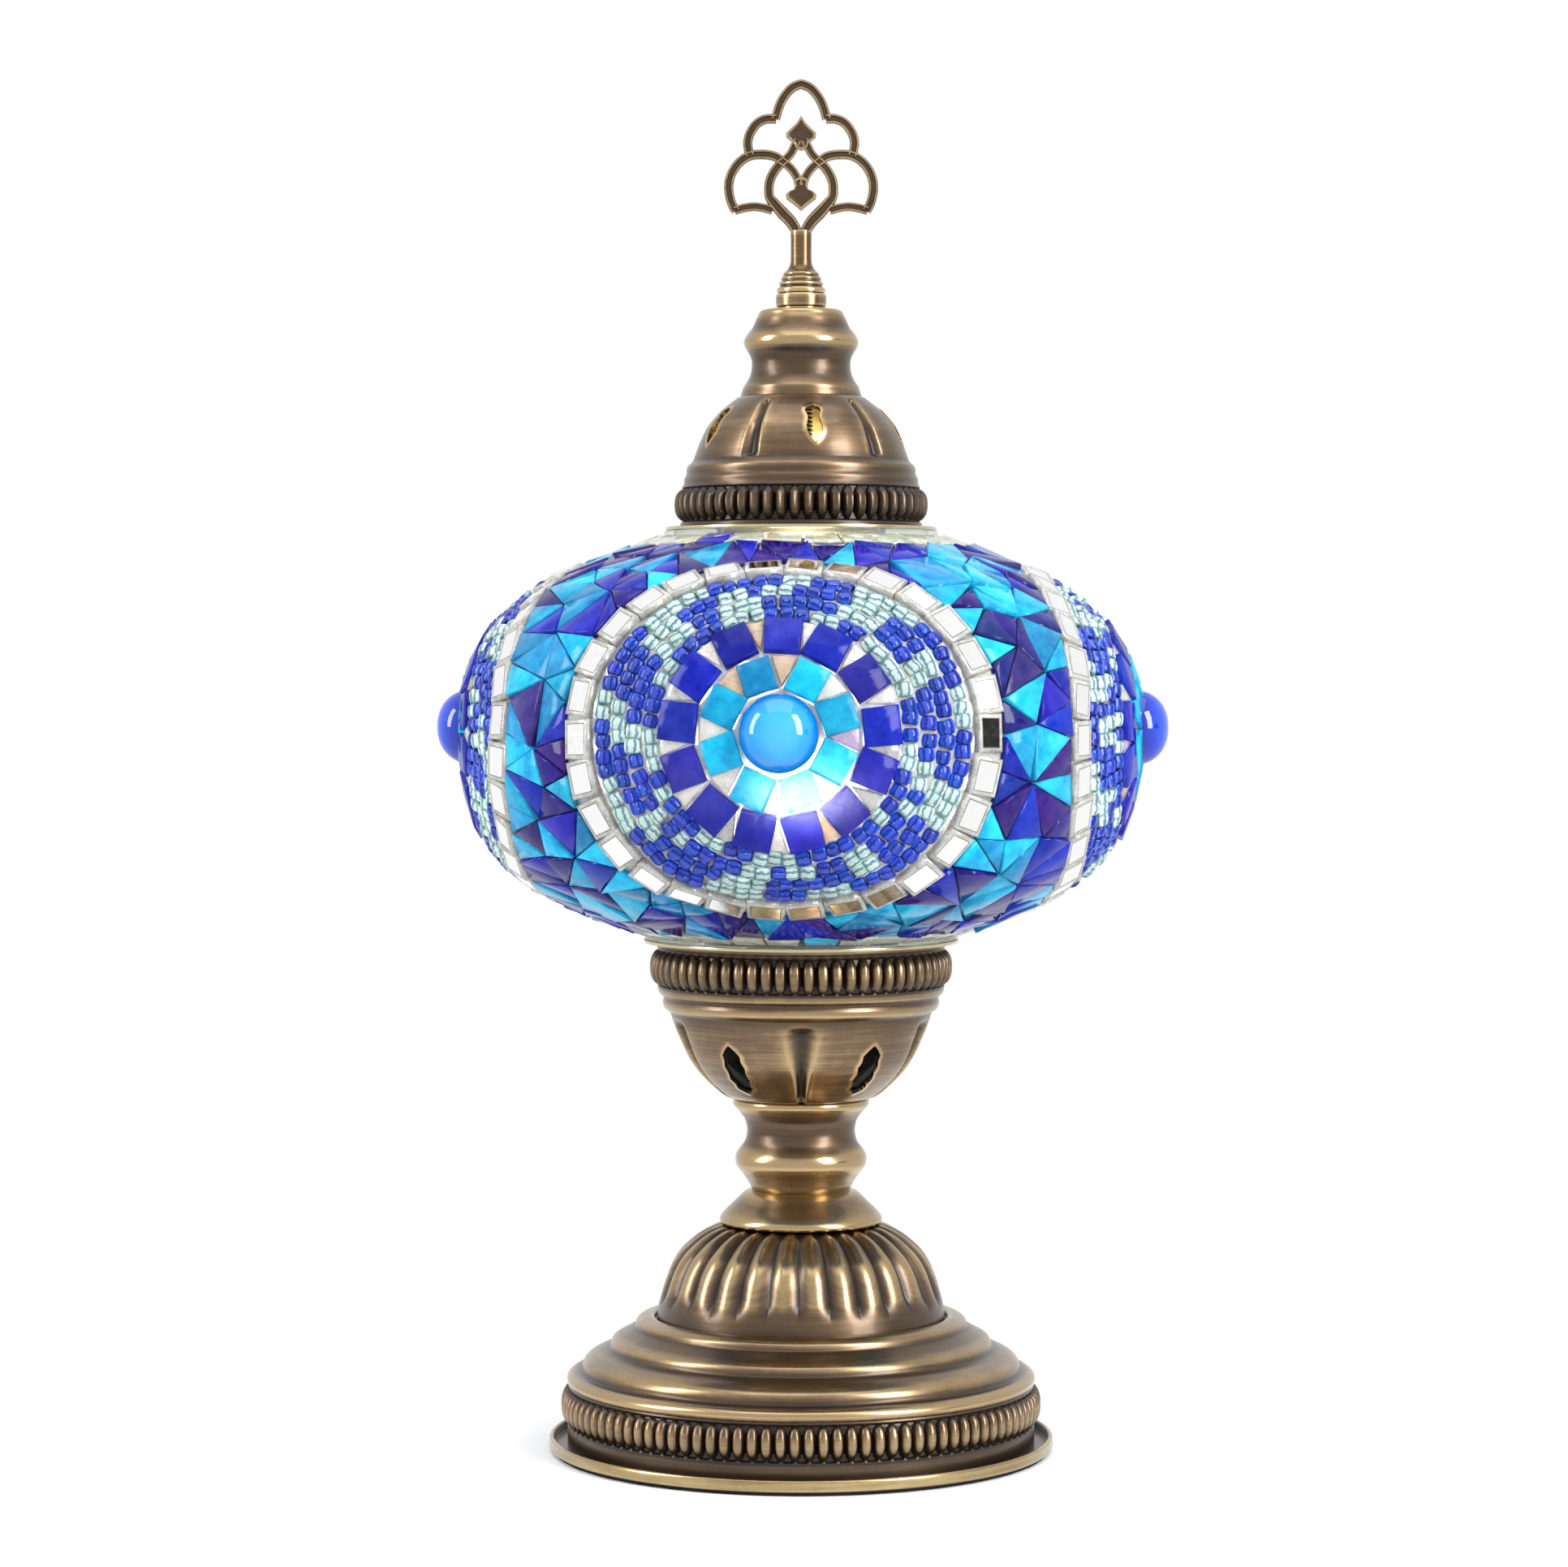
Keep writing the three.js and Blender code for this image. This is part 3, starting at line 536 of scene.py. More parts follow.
def blur_rows(A, sigma, periodic):
    if sigma < 0.3:
        return A
    k = int(math.ceil(3 * sigma))
    w = np.exp(-0.5 * (np.arange(-k, k + 1) / sigma) ** 2)
    w /= w.sum()
    if periodic:
        pad = np.concatenate([A[-k:], A, A[:k]], axis=0) if k <= len(A) else np.take(A, np.arange(-k, len(A) + k), axis=0, mode="wrap")
    else:
        pad = np.concatenate([np.repeat(A[:1], k, axis=0), A, np.repeat(A[-1:], k, axis=0)], axis=0)
    out = np.zeros_like(A)
    for i, wi in enumerate(w):
        out += wi * pad[i:i + len(A)]
    return out


def rim(outline, n=160):
    """A closed smooth outline as points, for slots."""
    P = np.array(outline, float)
    closed = np.vstack([P, P[:1]])
    L = np.concatenate([[0], np.cumsum(np.linalg.norm(np.diff(closed, axis=0), axis=1))])
    s = np.linspace(0, L[-1], n, endpoint=False)
    return np.stack([np.interp(s, L, closed[:, 0]), np.interp(s, L, closed[:, 1])], axis=1)


def inside(poly, U, V):
    c = np.zeros(U.shape, bool)
    x, y = poly[:, 0], poly[:, 1]
    for i in range(len(poly)):
        j = i - 1
        cond = (y[i] > V) != (y[j] > V)
        with np.errstate(divide="ignore", invalid="ignore"):
            c ^= cond & (U < (x[j] - x[i]) * (V - y[i]) / (y[j] - y[i] + 1e-12) + x[i])
    return c


def shell(name, node, pts, body, mat, nseg, step, thick=0.9, disp=None, slots=(), soft=1.6, gain=1.0, base_relief=None, shade=None, lining=None, lining_relief=0.45):
    """A turned sheet: outer face through pts (running so that the metal is on its left), thickness thick,
    an optional displacement disp(angle, s, r, z) of its outer face, and optional slots (angle, s0, outline)."""
    O = curve_points(pts, step)
    m = len(O)
    s = np.concatenate([[0], np.cumsum(np.linalg.norm(np.diff(O, axis=0), axis=1))])
    N = left_normals(O)
    I = O + N * thick
    I[:, 0] = np.maximum(I[:, 0], 0.05)
    I[0] = O[0] + (np.array([-thick, 0]) if abs(N[0, 0]) > abs(N[0, 1]) else np.array([0, thick if N[0, 1] > 0 else -thick]))
    I[-1] = O[-1] + (np.array([-thick, 0]) if abs(N[-1, 0]) > abs(N[-1, 1]) else np.array([0, thick if N[-1, 1] > 0 else -thick]))
    a = np.arange(nseg) * 2 * math.pi / nseg
    A, S = np.meshgrid(a, s)  # m x nseg
    Rr, Zz = np.repeat(O[:, :1], nseg, 1), np.repeat(O[:, 1:], nseg, 1)
    cellmask = np.zeros((m - 1, nseg), bool)
    edge = np.zeros((m, nseg))
    for a0, s0, outline in slots:
        poly = rim(outline)
        dA = (A - a0 + math.pi) % (2 * math.pi) - math.pi
        U, V = dA * Rr, S - s0
        near = (np.abs(U) < 9) & (np.abs(V) < 14)
        Uc = (U[:-1] + np.roll(U, -1, 1)[:-1] + U[1:] + np.roll(U, -1, 1)[1:]) / 4
        Vc = (V[:-1] + V[1:]) / 2
        ok = near[:-1] & near[1:]
        mask = inside(poly, Uc, Vc) & ok
        cellmask |= mask
        big = np.zeros((m, nseg), int)
        for dj in (0, 1):
            for di in (0, 1):
                big[dj:dj + m - 1] += np.roll(mask, di, axis=1)
        jj, ii = np.nonzero((big > 0) & (big < 4))
        for j, i in zip(jj, ii):
            d = poly - np.array([U[j, i], V[j, i]])
            k = int(np.argmin((d ** 2).sum(1)))
            A[j, i] += d[k, 0] / max(Rr[j, i], 1)
            S[j, i] += d[k, 1]
        jj, ii = np.nonzero(near)
        D = np.sqrt(((np.stack([U[jj, ii], V[jj, ii]], 1)[:, None, :] - poly[None]) ** 2).sum(2)).min(1)
        edge[jj, ii] = np.maximum(edge[jj, ii], np.exp(-(D / 0.75) ** 2))
    if slots:
        Rr = np.interp(S, s, O[:, 0])
        Zz = np.interp(S, s, O[:, 1])
    Nr, Nz = np.interp(S, s, N[:, 0]), np.interp(S, s, N[:, 1])
    Ir, Iz = np.interp(S, s, I[:, 0]), np.interp(S, s, I[:, 1])
    D = disp(A, S, Rr, Zz) if disp is not None else np.zeros_like(A)
    D = D + 0.22 * edge
    Ro, Zo = Rr - Nr * D, Zz - Nz * D
    if disp is not None:
        # the inner face follows a pressed flute, softened
        Ds = np.minimum(D, 0.0)
        Ir, Iz = Ir - Nr * Ds, Iz - Nz * Ds
    outer = np.stack([Ro * np.sin(A), -Ro * np.cos(A), Zo], 2)
    inner = np.stack([Ir * np.sin(A), -Ir * np.cos(A), Iz], 2)
    # relief: how far a point stands out of its smoothed surroundings
    H = np.stack([Ro, Zo], 2)
    B = blur_rows(H, soft / step, False)
    B = blur_rows(B.transpose(1, 0, 2), soft / (2 * math.pi * O[:, 0].mean() / nseg), True).transpose(1, 0, 2)
    rel = -((H - B) * np.stack([Nr, Nz], 2)).sum(2)
    rel = np.clip(0.5 + gain * rel + 0.55 * edge, 0, 1)
    if shade is not None:
        rel = np.clip(shade(A, S, Rr, Zz, rel), 0, 1)
    if base_relief is not None:
        rel = np.clip(rel + base_relief(A, S, Rr, Zz), 0, 1)
    vid = np.arange(m * nseg).reshape(m, nseg)
    nxt = np.roll(vid, -1, 1)
    q = np.stack([vid[:-1], nxt[:-1], nxt[1:], vid[1:]], 2)
    off = m * nseg
    qo = q[~cellmask]
    qi = (q[~cellmask] + off)[:, ::-1]
    caps = [np.stack([vid[0] + off, nxt[0] + off, nxt[0], vid[0]], 1), np.stack([vid[-1], nxt[-1], nxt[-1] + off, vid[-1] + off], 1)]
    walls = []
    if slots:
        cm = cellmask
        for j, i in zip(*np.nonzero(cm)):
            i1 = (i + 1) % nseg
            if not cm[j, i - 1]:
                walls.append((vid[j, i], vid[j + 1, i], vid[j + 1, i] + off, vid[j, i] + off))
            if not cm[j, i1]:
                walls.append((vid[j + 1, i1], vid[j, i1], vid[j, i1] + off, vid[j + 1, i1] + off))
            if j == 0 or not cm[j - 1, i]:
                walls.append((vid[j, i1], vid[j, i], vid[j, i] + off, vid[j, i1] + off))
            if j == m - 2 or not cm[j + 1, i]:
                walls.append((vid[j + 1, i], vid[j + 1, i1], vid[j + 1, i1] + off, vid[j + 1, i] + off))
    F = np.concatenate([qo, qi] + caps + ([np.array(walls)] if walls else []))
    Vt = np.concatenate([outer.reshape(-1, 3), inner.reshape(-1, 3)])
    used = np.zeros(len(Vt), bool)
    used[F.ravel()] = True
    remap = np.cumsum(used) - 1
    rel = np.concatenate([rel.ravel(), np.full(off, lining_relief if lining else 0.12)])[used]
    mi = np.zeros(len(F), np.int32)
    if lining:
        mi[len(qo):len(qo) + len(qi)] = 1
    return build(name, Vt[used], remap[F], body, [mat, lining] if lining else [mat], [node] if node else (), {"relief": rel}, True, 40, mi)


def turned(name, node, pts, body, mat, nseg=96, step=0.5, soft=1.0, gain=1.2, chamfer=0.0, disp=None, shade=None):
    """A closed turned section, metal on the left of the line."""
    P = [tuple(p) for p in pts]
    if chamfer:
        Q = []
        k = len(P)
        for i in range(k):
            p, a, b = np.array(P[i][:2]), np.array(P[i - 1][:2]), np.array(P[(i + 1) % k][:2])
            if p[0] < 1e-6:
                Q.append((p[0], p[1], 1))
                continue
            la, lb = np.linalg.norm(a - p), np.linalg.norm(b - p)
            c = min(chamfer, la * 0.4, lb * 0.4)
            u, v = p + (a - p) / la * c, p + (b - p) / lb * c
            w = 0.5 * p + 0.25 * (u + v)
            Q += [(*u, 1), (*w, 1), (*v, 1)]
        P = Q
    on_axis = P[0][0] < 1e-6 and P[-1][0] < 1e-6
    O = curve_points(P if on_axis else P + [P[0]], step)
    if not on_axis:
        O = O[:-1]
    m = len(O)
    a = np.arange(nseg) * 2 * math.pi / nseg
    A = np.repeat(a[None], m, 0)
    R, Z = np.repeat(O[:, :1], nseg, 1), np.repeat(O[:, 1:], nseg, 1)
    N = left_normals(O, not on_axis)
    if disp is not None:
        D = disp(A, None, R, Z)
        R, Z = R - N[:, :1] * D, Z - N[:, 1:] * D
    H = np.stack([R, Z], 2)
    B = blur_rows(H, soft / step, not on_axis)
    rel = np.clip(0.5 - gain * ((H - B) * N[:, None, :]).sum(2), 0, 1)
    if shade is not None:
        rel = np.clip(shade(R, Z, rel), 0, 1)
    V = np.stack([R * np.sin(A), -R * np.cos(A), Z], 2)
    vid = np.arange(m * nseg).reshape(m, nseg)
    nxt = np.roll(vid, -1, 1)
    if on_axis:
        V2 = V[1:-1].reshape(-1, 3)
        r2 = rel[1:-1].ravel()
        vid2 = np.arange((m - 2) * nseg).reshape(m - 2, nseg)
        nx2 = np.roll(vid2, -1, 1)
        q = np.stack([vid2[:-1], nx2[:-1], nx2[1:], vid2[1:]], 2).reshape(-1, 4)
        c0, c1 = len(V2), len(V2) + 1
        V2 = np.vstack([V2, [[0, 0, O[0, 1]]], [[0, 0, O[-1, 1]]]])
        r2 = np.concatenate([r2, [0.5, 0.5]])
        t0 = np.stack([np.full(nseg, c0), nx2[0], vid2[0]], 1)
        t1 = np.stack([np.full(nseg, c1), vid2[-1], nx2[-1]], 1)
        return build(name, V2, [q, np.concatenate([t0, t1])], body, [mat], [node] if node else (), {"relief": r2}, True, 35)
    q = np.stack([vid, nxt, np.roll(nxt, -1, 0), np.roll(vid, -1, 0)], 2).reshape(-1, 4)
    return build(name, V.reshape(-1, 3), q, body, [mat], [node] if node else (), {"relief": rel.ravel()}, True, 35)


def beads_band(count, z0, z1, height, groove=0.35, ridges=0.0, dark=0.10, light=0.58, power=0.8):
    """Upright oval beads side by side in a band, standing out by height."""
    def body(A, Z):
        v = np.clip((Z - (z0 + z1) / 2) / ((z1 - z0) / 2), -1, 1)
        ph = (A * count / (2 * math.pi)) % 1.0
        half = 0.93 * np.sqrt(np.maximum(0, 1 - np.abs(v) ** 2.4)) + 1e-6
        u = np.clip(np.abs(ph - 0.5) * 2 / half, 0, 1)
        return v, ph, u, np.sqrt(np.maximum(0, 1 - u ** 2.6)) * np.maximum(0, 1 - np.abs(v) ** 2.5) ** 0.6

    def f(A, S, R, Z):
        v, ph, u, b = body(A, Z)
        inb = (np.abs(v) < 1)
        d = height * b - groove * (1 - b) * inb
        if ridges:
            d = d + ridges * b * np.cos(2 * math.pi * (ph - 0.5) * 4.0) * (u < 0.8)
        return np.where(inb, d, 0)

    def shade(A, S, R, Z, rel):
        v, ph, u, b = body(A, Z)
        out = np.where(np.abs(v) < 1, dark + (light - dark) * b ** power, rel)
        edge = (Z < z0 + 0.3) & (Z > z0 - 0.9) | (Z > z1 - 0.2) & (Z < z1 + 0.5)
        return np.where(edge, np.minimum(out, 0.18), out)
    f.shade = shade
    return f


def window(x, a, b, soft):
    """1 between a and b, falling smoothly to 0 over soft outside them."""
    t1 = np.clip((x - (a - soft)) / soft, 0, 1)
    t2 = np.clip(((b + soft) - x) / soft, 0, 1)
    return (t1 * t1 * (3 - 2 * t1)) * (t2 * t2 * (3 - 2 * t2))


def flutes(angles, z0, z1, wide, depth, soft=1.2):
    """Pressed upright grooves; wide(z) is the half width in mm."""
    def f(A, S, R, Z):
        d = np.zeros_like(A)
        for a0 in angles:
            U = ((A - a0 + math.pi) % (2 * math.pi) - math.pi) * R
            w = wide(Z)
            g = np.exp(-(np.abs(U) / w) ** 2.4)
            lip = np.exp(-((np.abs(U) - w * 1.6) / 0.6) ** 2)
            d += (-depth * g + 0.10 * lip) * window(Z, z0, z1, soft)
        return d
    return f


# ------------------------------------------------------------------ base
felt = turned("felt_ring", "felt_pad", [(18.0, 0.0), (61.0, 0.0), (61.0, 0.8), (18.0, 0.8)], "base", FELT, 240, 0.8, chamfer=0.2,
              disp=lambda A, S, R, Z: 0.05 * np.sin(A * 57) * np.sin(A * 23 + 1) * (R > 60.9))
turned("base_tray_lip", "base_tray",
       [(5.4, 8.0), (14.5, 8.0), (17.5, 0.85), (61.7, 0.85), (62.2, 1.3), (62.2, 3.4), (61.9, 3.8), (61.2, 3.8), (60.9, 3.4), (60.9, 1.75), (18.2, 1.75), (15.2, 8.9), (5.4, 8.9)],
       "base", POLISHED, 288, 0.45, 0.8, 0.8, 0.22,
       shade=lambda R, Z, rel: rel * np.where((R < 61.35) | (Z < 1.1), 0.0, 1.0) + 0.02)

shell_pts = [(57.7, 1.9), (57.7, 6.4), (57.8, 7.2), (57.8, 8.5), (57.75, 15.3), (57.5, 16.0), (57.35, 16.5), (57.7, 17.0), (57.9, 17.6), (57.8, 18.4), (57.1, 19.15),
             (56.0, 19.6), (54.9, 19.75), (54.25, 20.0), (54.0, 20.5), (53.95, 21.4), (53.5, 22.4), (52.6, 23.25), (51.2, 24.0), (49.6, 24.6), (48.2, 25.0), (47.4, 25.3),
             (47.1, 25.8), (47.0, 26.7), (46.5, 27.6), (45.5, 28.25), (44.2, 28.85), (42.9, 29.6), (41.9, 30.2), (41.2, 30.6), (40.95, 31.2), (40.75, 31.9), (40.1, 32.55),
             (39.1, 33.0), (38.0, 33.3), (37.0, 33.45), (36.2, 33.1), (35.9, 32.3, 1), (31.0, 32.0)]
base_beads = beads_band(108, 7.2, 15.8, 1.45, 0.75, dark=0.0, light=0.66, power=1.1)
shell("base_cover", "base_shell", shell_pts, "base", ANTIQUE, 1296, 0.42, 0.8, base_beads, soft=1.9, gain=0.62, shade=base_beads.shade,
      base_relief=lambda A, S, R, Z: -0.20 * window(Z, 1.0, 6.4, 0.8))

dome_pts = [(35.6, 32.1), (35.55, 33.2), (35.4, 34.2), (35.1, 36.2), (34.6, 38.4), (34.0, 40.6), (33.2, 42.9), (32.3, 45.2), (31.1, 47.4), (29.6, 49.4), (27.8, 51.1), (25.7, 52.8),
            (23.6, 54.1), (21.5, 55.1), (19.5, 55.7), (17.0, 55.9), (5.6, 55.9)]


def dome_ribs(A, S, R, Z):
    n = 28
    ph = ((A + 0.02) * n / (2 * math.pi)) % 1.0
    u = np.abs(ph - 0.5) * 2  # 0 on the crown of a rib, 1 in the valley
    rib = 1 - u ** 1.9
    amp = 1.3 * window(Z, 41.5, 56.5, 6.0) * np.clip(R / 33, 0.45, 1)
    return amp * (rib - 1.0)


shell("fluted_dome", "base_dome", dome_pts, "base", ANTIQUE, 896, 0.42, 0.8, dome_ribs, soft=2.4, gain=0.75,
      base_relief=lambda A, S, R, Z: -0.22 * window(Z, 30, 37.0, 4.0) - 0.10 * window(Z, 53, 57, 2.0) - 0.05)

collar_pts = [(19.3, 55.95), (19.9, 56.3), (20.1, 56.9), (19.9, 57.6), (19.4, 58.3), (18.7, 59.1), (17.6, 60.2), (16.5, 61.2), (15.4, 62.3), (14.4, 63.3), (13.4, 64.0), (12.4, 64.3), (5.6, 64.3)]
shell("ogee_collar", "base_collar", collar_pts, "base", ANTIQUE, 192, 0.3, 0.8, soft=1.9, gain=0.7,
      base_relief=lambda A, S, R, Z: 0.10 + 0 * Z)
neck_pts = [(12.0, 64.35), (12.5, 65.2), (13.1, 66.4), (13.9, 67.6), (14.7, 68.7), (15.5, 69.7), (16.0, 70.6), (16.2, 71.6), (16.15, 72.7), (15.8, 73.5), (15.2, 74.4), (14.4, 75.4), (13.8, 76.4),
            (13.45, 77.6), (13.3, 79.0), (13.5, 80.5), (13.9, 81.8), (14.7, 83.0), (15.6, 84.1), (16.4, 84.9), (16.8, 85.6), (16.8, 86.3), (16.4, 86.95), (5.6, 86.95)]
shell("waisted_neck", "stem_neck", neck_pts, "base", ANTIQUE, 192, 0.3, 0.8, soft=2.2, gain=0.7,
      base_relief=lambda A, S, R, Z: 0.10 + 0.10 * window(Z, 64, 71, 2.0))

# gallery bowl
bowl_pts = [(5.6, 87.0), (16.2, 87.0), (18.0, 87.25), (19.6, 88.2), (21.2, 89.5), (23.0, 91.1), (24.8, 93.0), (26.4, 95.0), (27.6, 96.9), (28.7, 99.0), (29.7, 101.3), (30.7, 103.6), (31.5, 105.8),
            (32.0, 107.3), (32.3, 108.2), (32.9, 108.7), (33.6, 109.2), (34.0, 110.0), (34.1, 110.9), (33.9, 111.6), (34.1, 112.3), (34.8, 112.8), (35.2, 113.5), (35.3, 114.4), (35.4, 115.2), (35.5, 116.0),
            (35.6, 119.5), (35.5, 123.0), (35.3, 123.8), (35.5, 124.4), (35.9, 124.8), (35.9, 125.4)]
bowl_outline = [(x * 1.5, y * 1.17) for x, y in [(0, 6.4), (1.0, 5.2), (1.75, 3.9), (1.6, 2.6), (1.95, 1.0), (1.7, -0.6), (1.9, -2.2), (1.4, -3.7), (1.45, -5.0), (0.6, -6.0), (0, -6.6),
                (-0.7, -5.9), (-1.5, -4.9), (-1.4, -3.6), (-1.95, -2.1), (-1.7, -0.5), (-2.0, 1.1), (-1.6, 2.7), (-1.7, 4.0), (-0.9, 5.3)]]
bowl_beads = beads_band(66, 115.1, 123.7, 1.65, 0.5, 0.05, dark=0.0, light=0.66, power=1.5)
fl = [math.radians(d) for d in (0, 72, 144, 216, 288)]
bowl_fl = flutes(fl, 88.8, 104.6, lambda Z: 0.95 + 0.115 * np.clip(Z - 90, 0, 16), 1.45, 2.6)
Bo = curve_points(bowl_pts, 0.36)
Bs = np.concatenate([[0], np.cumsum(np.linalg.norm(np.diff(Bo, axis=0), axis=1))])
s_mid = float(np.interp(95.4, Bo[40:, 1], Bs[40:]))
bowl_slots = [(math.radians(d), s_mid, bowl_outline) for d in (36, 108, 180, 252, 324)]
shell("slotted_bowl", "gallery_bowl", bowl_pts, "base", ANTIQUE, 792, 0.36, 0.8, lambda A, S, R, Z: bowl_beads(A, S, R, Z) + bowl_fl(A, S, R, Z), bowl_slots,
      soft=2.0, gain=0.7, shade=bowl_beads.shade, lining=DARKER, lining_relief=0.0)

# ------------------------------------------------------------------ rod, fasteners and lampholder


def thread(pitch, depth):
    return lambda A, S, R, Z: depth * (np.abs(((Z / pitch - A / (2 * math.pi)) % 1.0) - 0.5) * 2 - 1.0) * (R > 2.6)


turned("hollow_rod", "threaded_rod", [(3.8, 2.6), (5.0, 2.6), (5.0, 103.0), (3.8, 103.0)], "base", STEEL, 48, 0.3, chamfer=0.25,
       disp=lambda A, S, R, Z: 0.28 * (np.abs(((Z - A / (2 * math.pi)) % 1.0) - 0.5) * 2 - 1.0) * (R > 4.5))
turned("lower_washer", "rod_washer_lower", [(5.3, 7.1), (8.6, 7.1), (8.6, 7.9), (5.3, 7.9)], "base", STEEL, 72, 0.4, chamfer=0.12)
turned("upper_washer", "rod_washer_upper", [(5.3, 88.0), (8.6, 88.0), (8.6, 88.8), (5.3, 88.8)], "base", STEEL, 72, 0.4, chamfer=0.12)
turned("stud_m6", "harp_stud", [(0, 232.0, 1), (2.6, 232.0, 1), (3.0, 232.4, 1), (3.0, 287.5, 1), (2.5, 288.0, 1), (0, 288.0, 1)], "base", STEEL, 40, 0.25,
       disp=lambda A, S, R, Z: 0.30 * (np.abs(((Z - A / (2 * math.pi)) % 1.0) - 0.5) * 2 - 1.0) * (R > 2.7))
turned("lampholder_cap", "socket_cap", [(5.3, 95.0), (8.6, 95.0), (13.5, 100.4), (13.5, 104.95), (12.3, 104.95), (12.3, 101.0), (8.0, 96.4), (5.3, 96.4)],
       "base", PHENOLIC, 96, 0.5, chamfer=0.35)
turned("lampholder_body", "socket_body",
       [(2.2, 105.0), (13.5, 105.0), (13.5, 134.0), (14.4, 134.4), (14.4, 137.0), (13.6, 138.0), (8.2, 138.0), (8.2, 108.6), (2.2, 108.6)],
       "base", PHENOLIC, 144, 0.5, chamfer=0.35, disp=lambda A, S, R, Z: -0.22 * (np.cos(A * 36) > 0.3) * (R > 13.3) * (Z > 108) * (Z < 131))
turned("lampholder_thread", "socket_screw_shell", [(7.35, 110.6), (7.95, 110.6), (7.95, 136.6), (7.35, 136.6)], "base", POLISHED, 72, 0.3, chamfer=0.1)
turned("cord_inlet_grommet", None, [(2.9, 54.8), (4.5, 54.8), (4.5, 55.4), (3.9, 55.7), (3.9, 59.9), (5.4, 59.9), (5.2, 61.0), (2.9, 61.0)], "base", RUBBER, 64, 0.3, chamfer=0.25)
grommet = bpy.data.objects["cord_inlet_grommet"]
co = np.empty(len(grommet.data.vertices) * 3, np.float32)
grommet.data.vertices.foreach_get("co", co)
co = co.reshape(-1, 3)
co = np.stack([co[:, 0], co[:, 2], -co[:, 1] + 0.0113], 1)
grommet.data.vertices.foreach_set("co", np.ascontiguousarray(co, np.float32).ravel())
grommet.data.update()
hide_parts("cord_grommet")

for node, mat in (("rod_nut_lower", STEEL), ("rod_nut_upper", STEEL), ("harp", STEEL), ("harp_nut_lower", STEEL), ("harp_nut_upper", STEEL),
                  ("socket_contact", POLISHED), ("terminal_screw_left", POLISHED), ("terminal_screw_right", POLISHED)):
    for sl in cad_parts[node].material_slots:
        sl.material = mat
    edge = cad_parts[node].modifiers.new("soft_edges", "BEVEL")
    edge.width = 0.00022
    edge.segments = 2
    edge.limit_method = "ANGLE"
    edge.angle_limit = math.radians(35)
    edge.harden_normals = False

# ------------------------------------------------------------------ bulb
turned("bulb_contact", "bulb_tip", [(0, 110.75), (1.6, 110.9), (2.6, 111.4), (2.6, 111.95), (0, 111.95)], "bulb_tip", POLISHED, 48, 0.25, chamfer=0.1)


def cap_thread(A, S, R, Z):
    w = window(Z, 117, 132, 1.5) * (R > 6.6)
    return w * 0.28 * (np.cos(2 * math.pi * (Z / 2.82 - A / (2 * math.pi))) - 1.0)


turned("bulb_screw_cap", "bulb_cap", [(0, 112.0), (4.6, 112.0), (6.9, 114.4), (6.9, 136.0), (6.3, 136.0), (6.3, 116.0), (0, 114.0)],
       "bulb", POLISHED, 72, 0.3, chamfer=0.15, disp=cap_thread)
env = [(0, 207.2, 1), (2.4, 204.6), (5.7, 195.6), (10.9, 183.6), (15.4, 171.4), (16.7, 161.6), (15.0, 152.3), (10.7, 143.8), (5.4, 136.4), (5.4, 134.6, 1), (6.2, 134.6, 1), (6.2, 136.2), (11.4, 143.4),
       (15.8, 152.0), (17.5, 161.6), (16.2, 171.6), (11.6, 184.0), (6.4, 196.0), (2.8, 205.2), (0, 208.0)]
turned("bulb_glass", "bulb_envelope", env, "bulb", LAMP, 96, 0.9)
turned("bulb_mount", "bulb_stem", [(0, 117.0), (4.4, 117.0, 1), (4.4, 134.0), (2.6, 140.0), (1.6, 148.0), (1.2, 152.0, 1), (4.6, 153.0), (4.9, 158.0), (4.9, 168.0), (4.4, 172.0), (2.0, 175.0), (0, 178.0)],
       "bulb", LAMP, 48, 0.7)

# ------------------------------------------------------------------ globe surface, the outer face of the tiles
GP = [(38.9, 127.0), (46.5, 129.6), (56.0, 133.4), (63.0, 137.0), (69.0, 140.8), (73.6, 144.4), (77.2, 149.2), (79.9, 154.2), (81.8, 159.4), (83.2, 165.2), (83.9, 171.0), (84.1, 177.0),
      (83.8, 183.0), (83.1, 188.6), (81.8, 193.0), (80.2, 196.6), (77.9, 200.8), (75.6, 204.0), (72.4, 207.4), (69.0, 210.4), (64.8, 213.4), (59.6, 216.2), (53.4, 218.6), (46.4, 221.4),
      (40.6, 223.6), (35.2, 225.6)]
G = curve_points(GP, 0.4)
for _ in range(3):
    G[1:-1] = 0.25 * G[:-2] + 0.5 * G[1:-1] + 0.25 * G[2:]
Gt = np.concatenate([[0], np.cumsum(np.linalg.norm(np.diff(G, axis=0), axis=1))])
GN = -left_normals(G)
T_END = Gt[-1]
MZ = 178.4
i_mid = int(np.argmin(np.abs(G[:, 1] - MZ)))
T0 = float(np.interp(MZ, G[:, 1], Gt))


def g_r(t):
    return np.interp(t, Gt, G[:, 0])


def surf(theta, t, h=0.0):
    """Point h outside the tile face."""
    r, z = np.interp(t, Gt, G[:, 0]), np.interp(t, Gt, G[:, 1])
    nr, nz = np.interp(t, Gt, GN[:, 0]), np.interp(t, Gt, GN[:, 1])
    r, z = r + nr * h, z + nz * h
    return np.stack([r * np.sin(theta), -r * np.cos(theta), z], -1)


def surf_normal(theta, t):
    nr, nz = np.interp(t, Gt, GN[:, 0]), np.interp(t, Gt, GN[:, 1])
    v = np.stack([nr * np.sin(theta), -nr * np.cos(theta), nz], -1)
    return v / np.linalg.norm(v, axis=-1, keepdims=True)


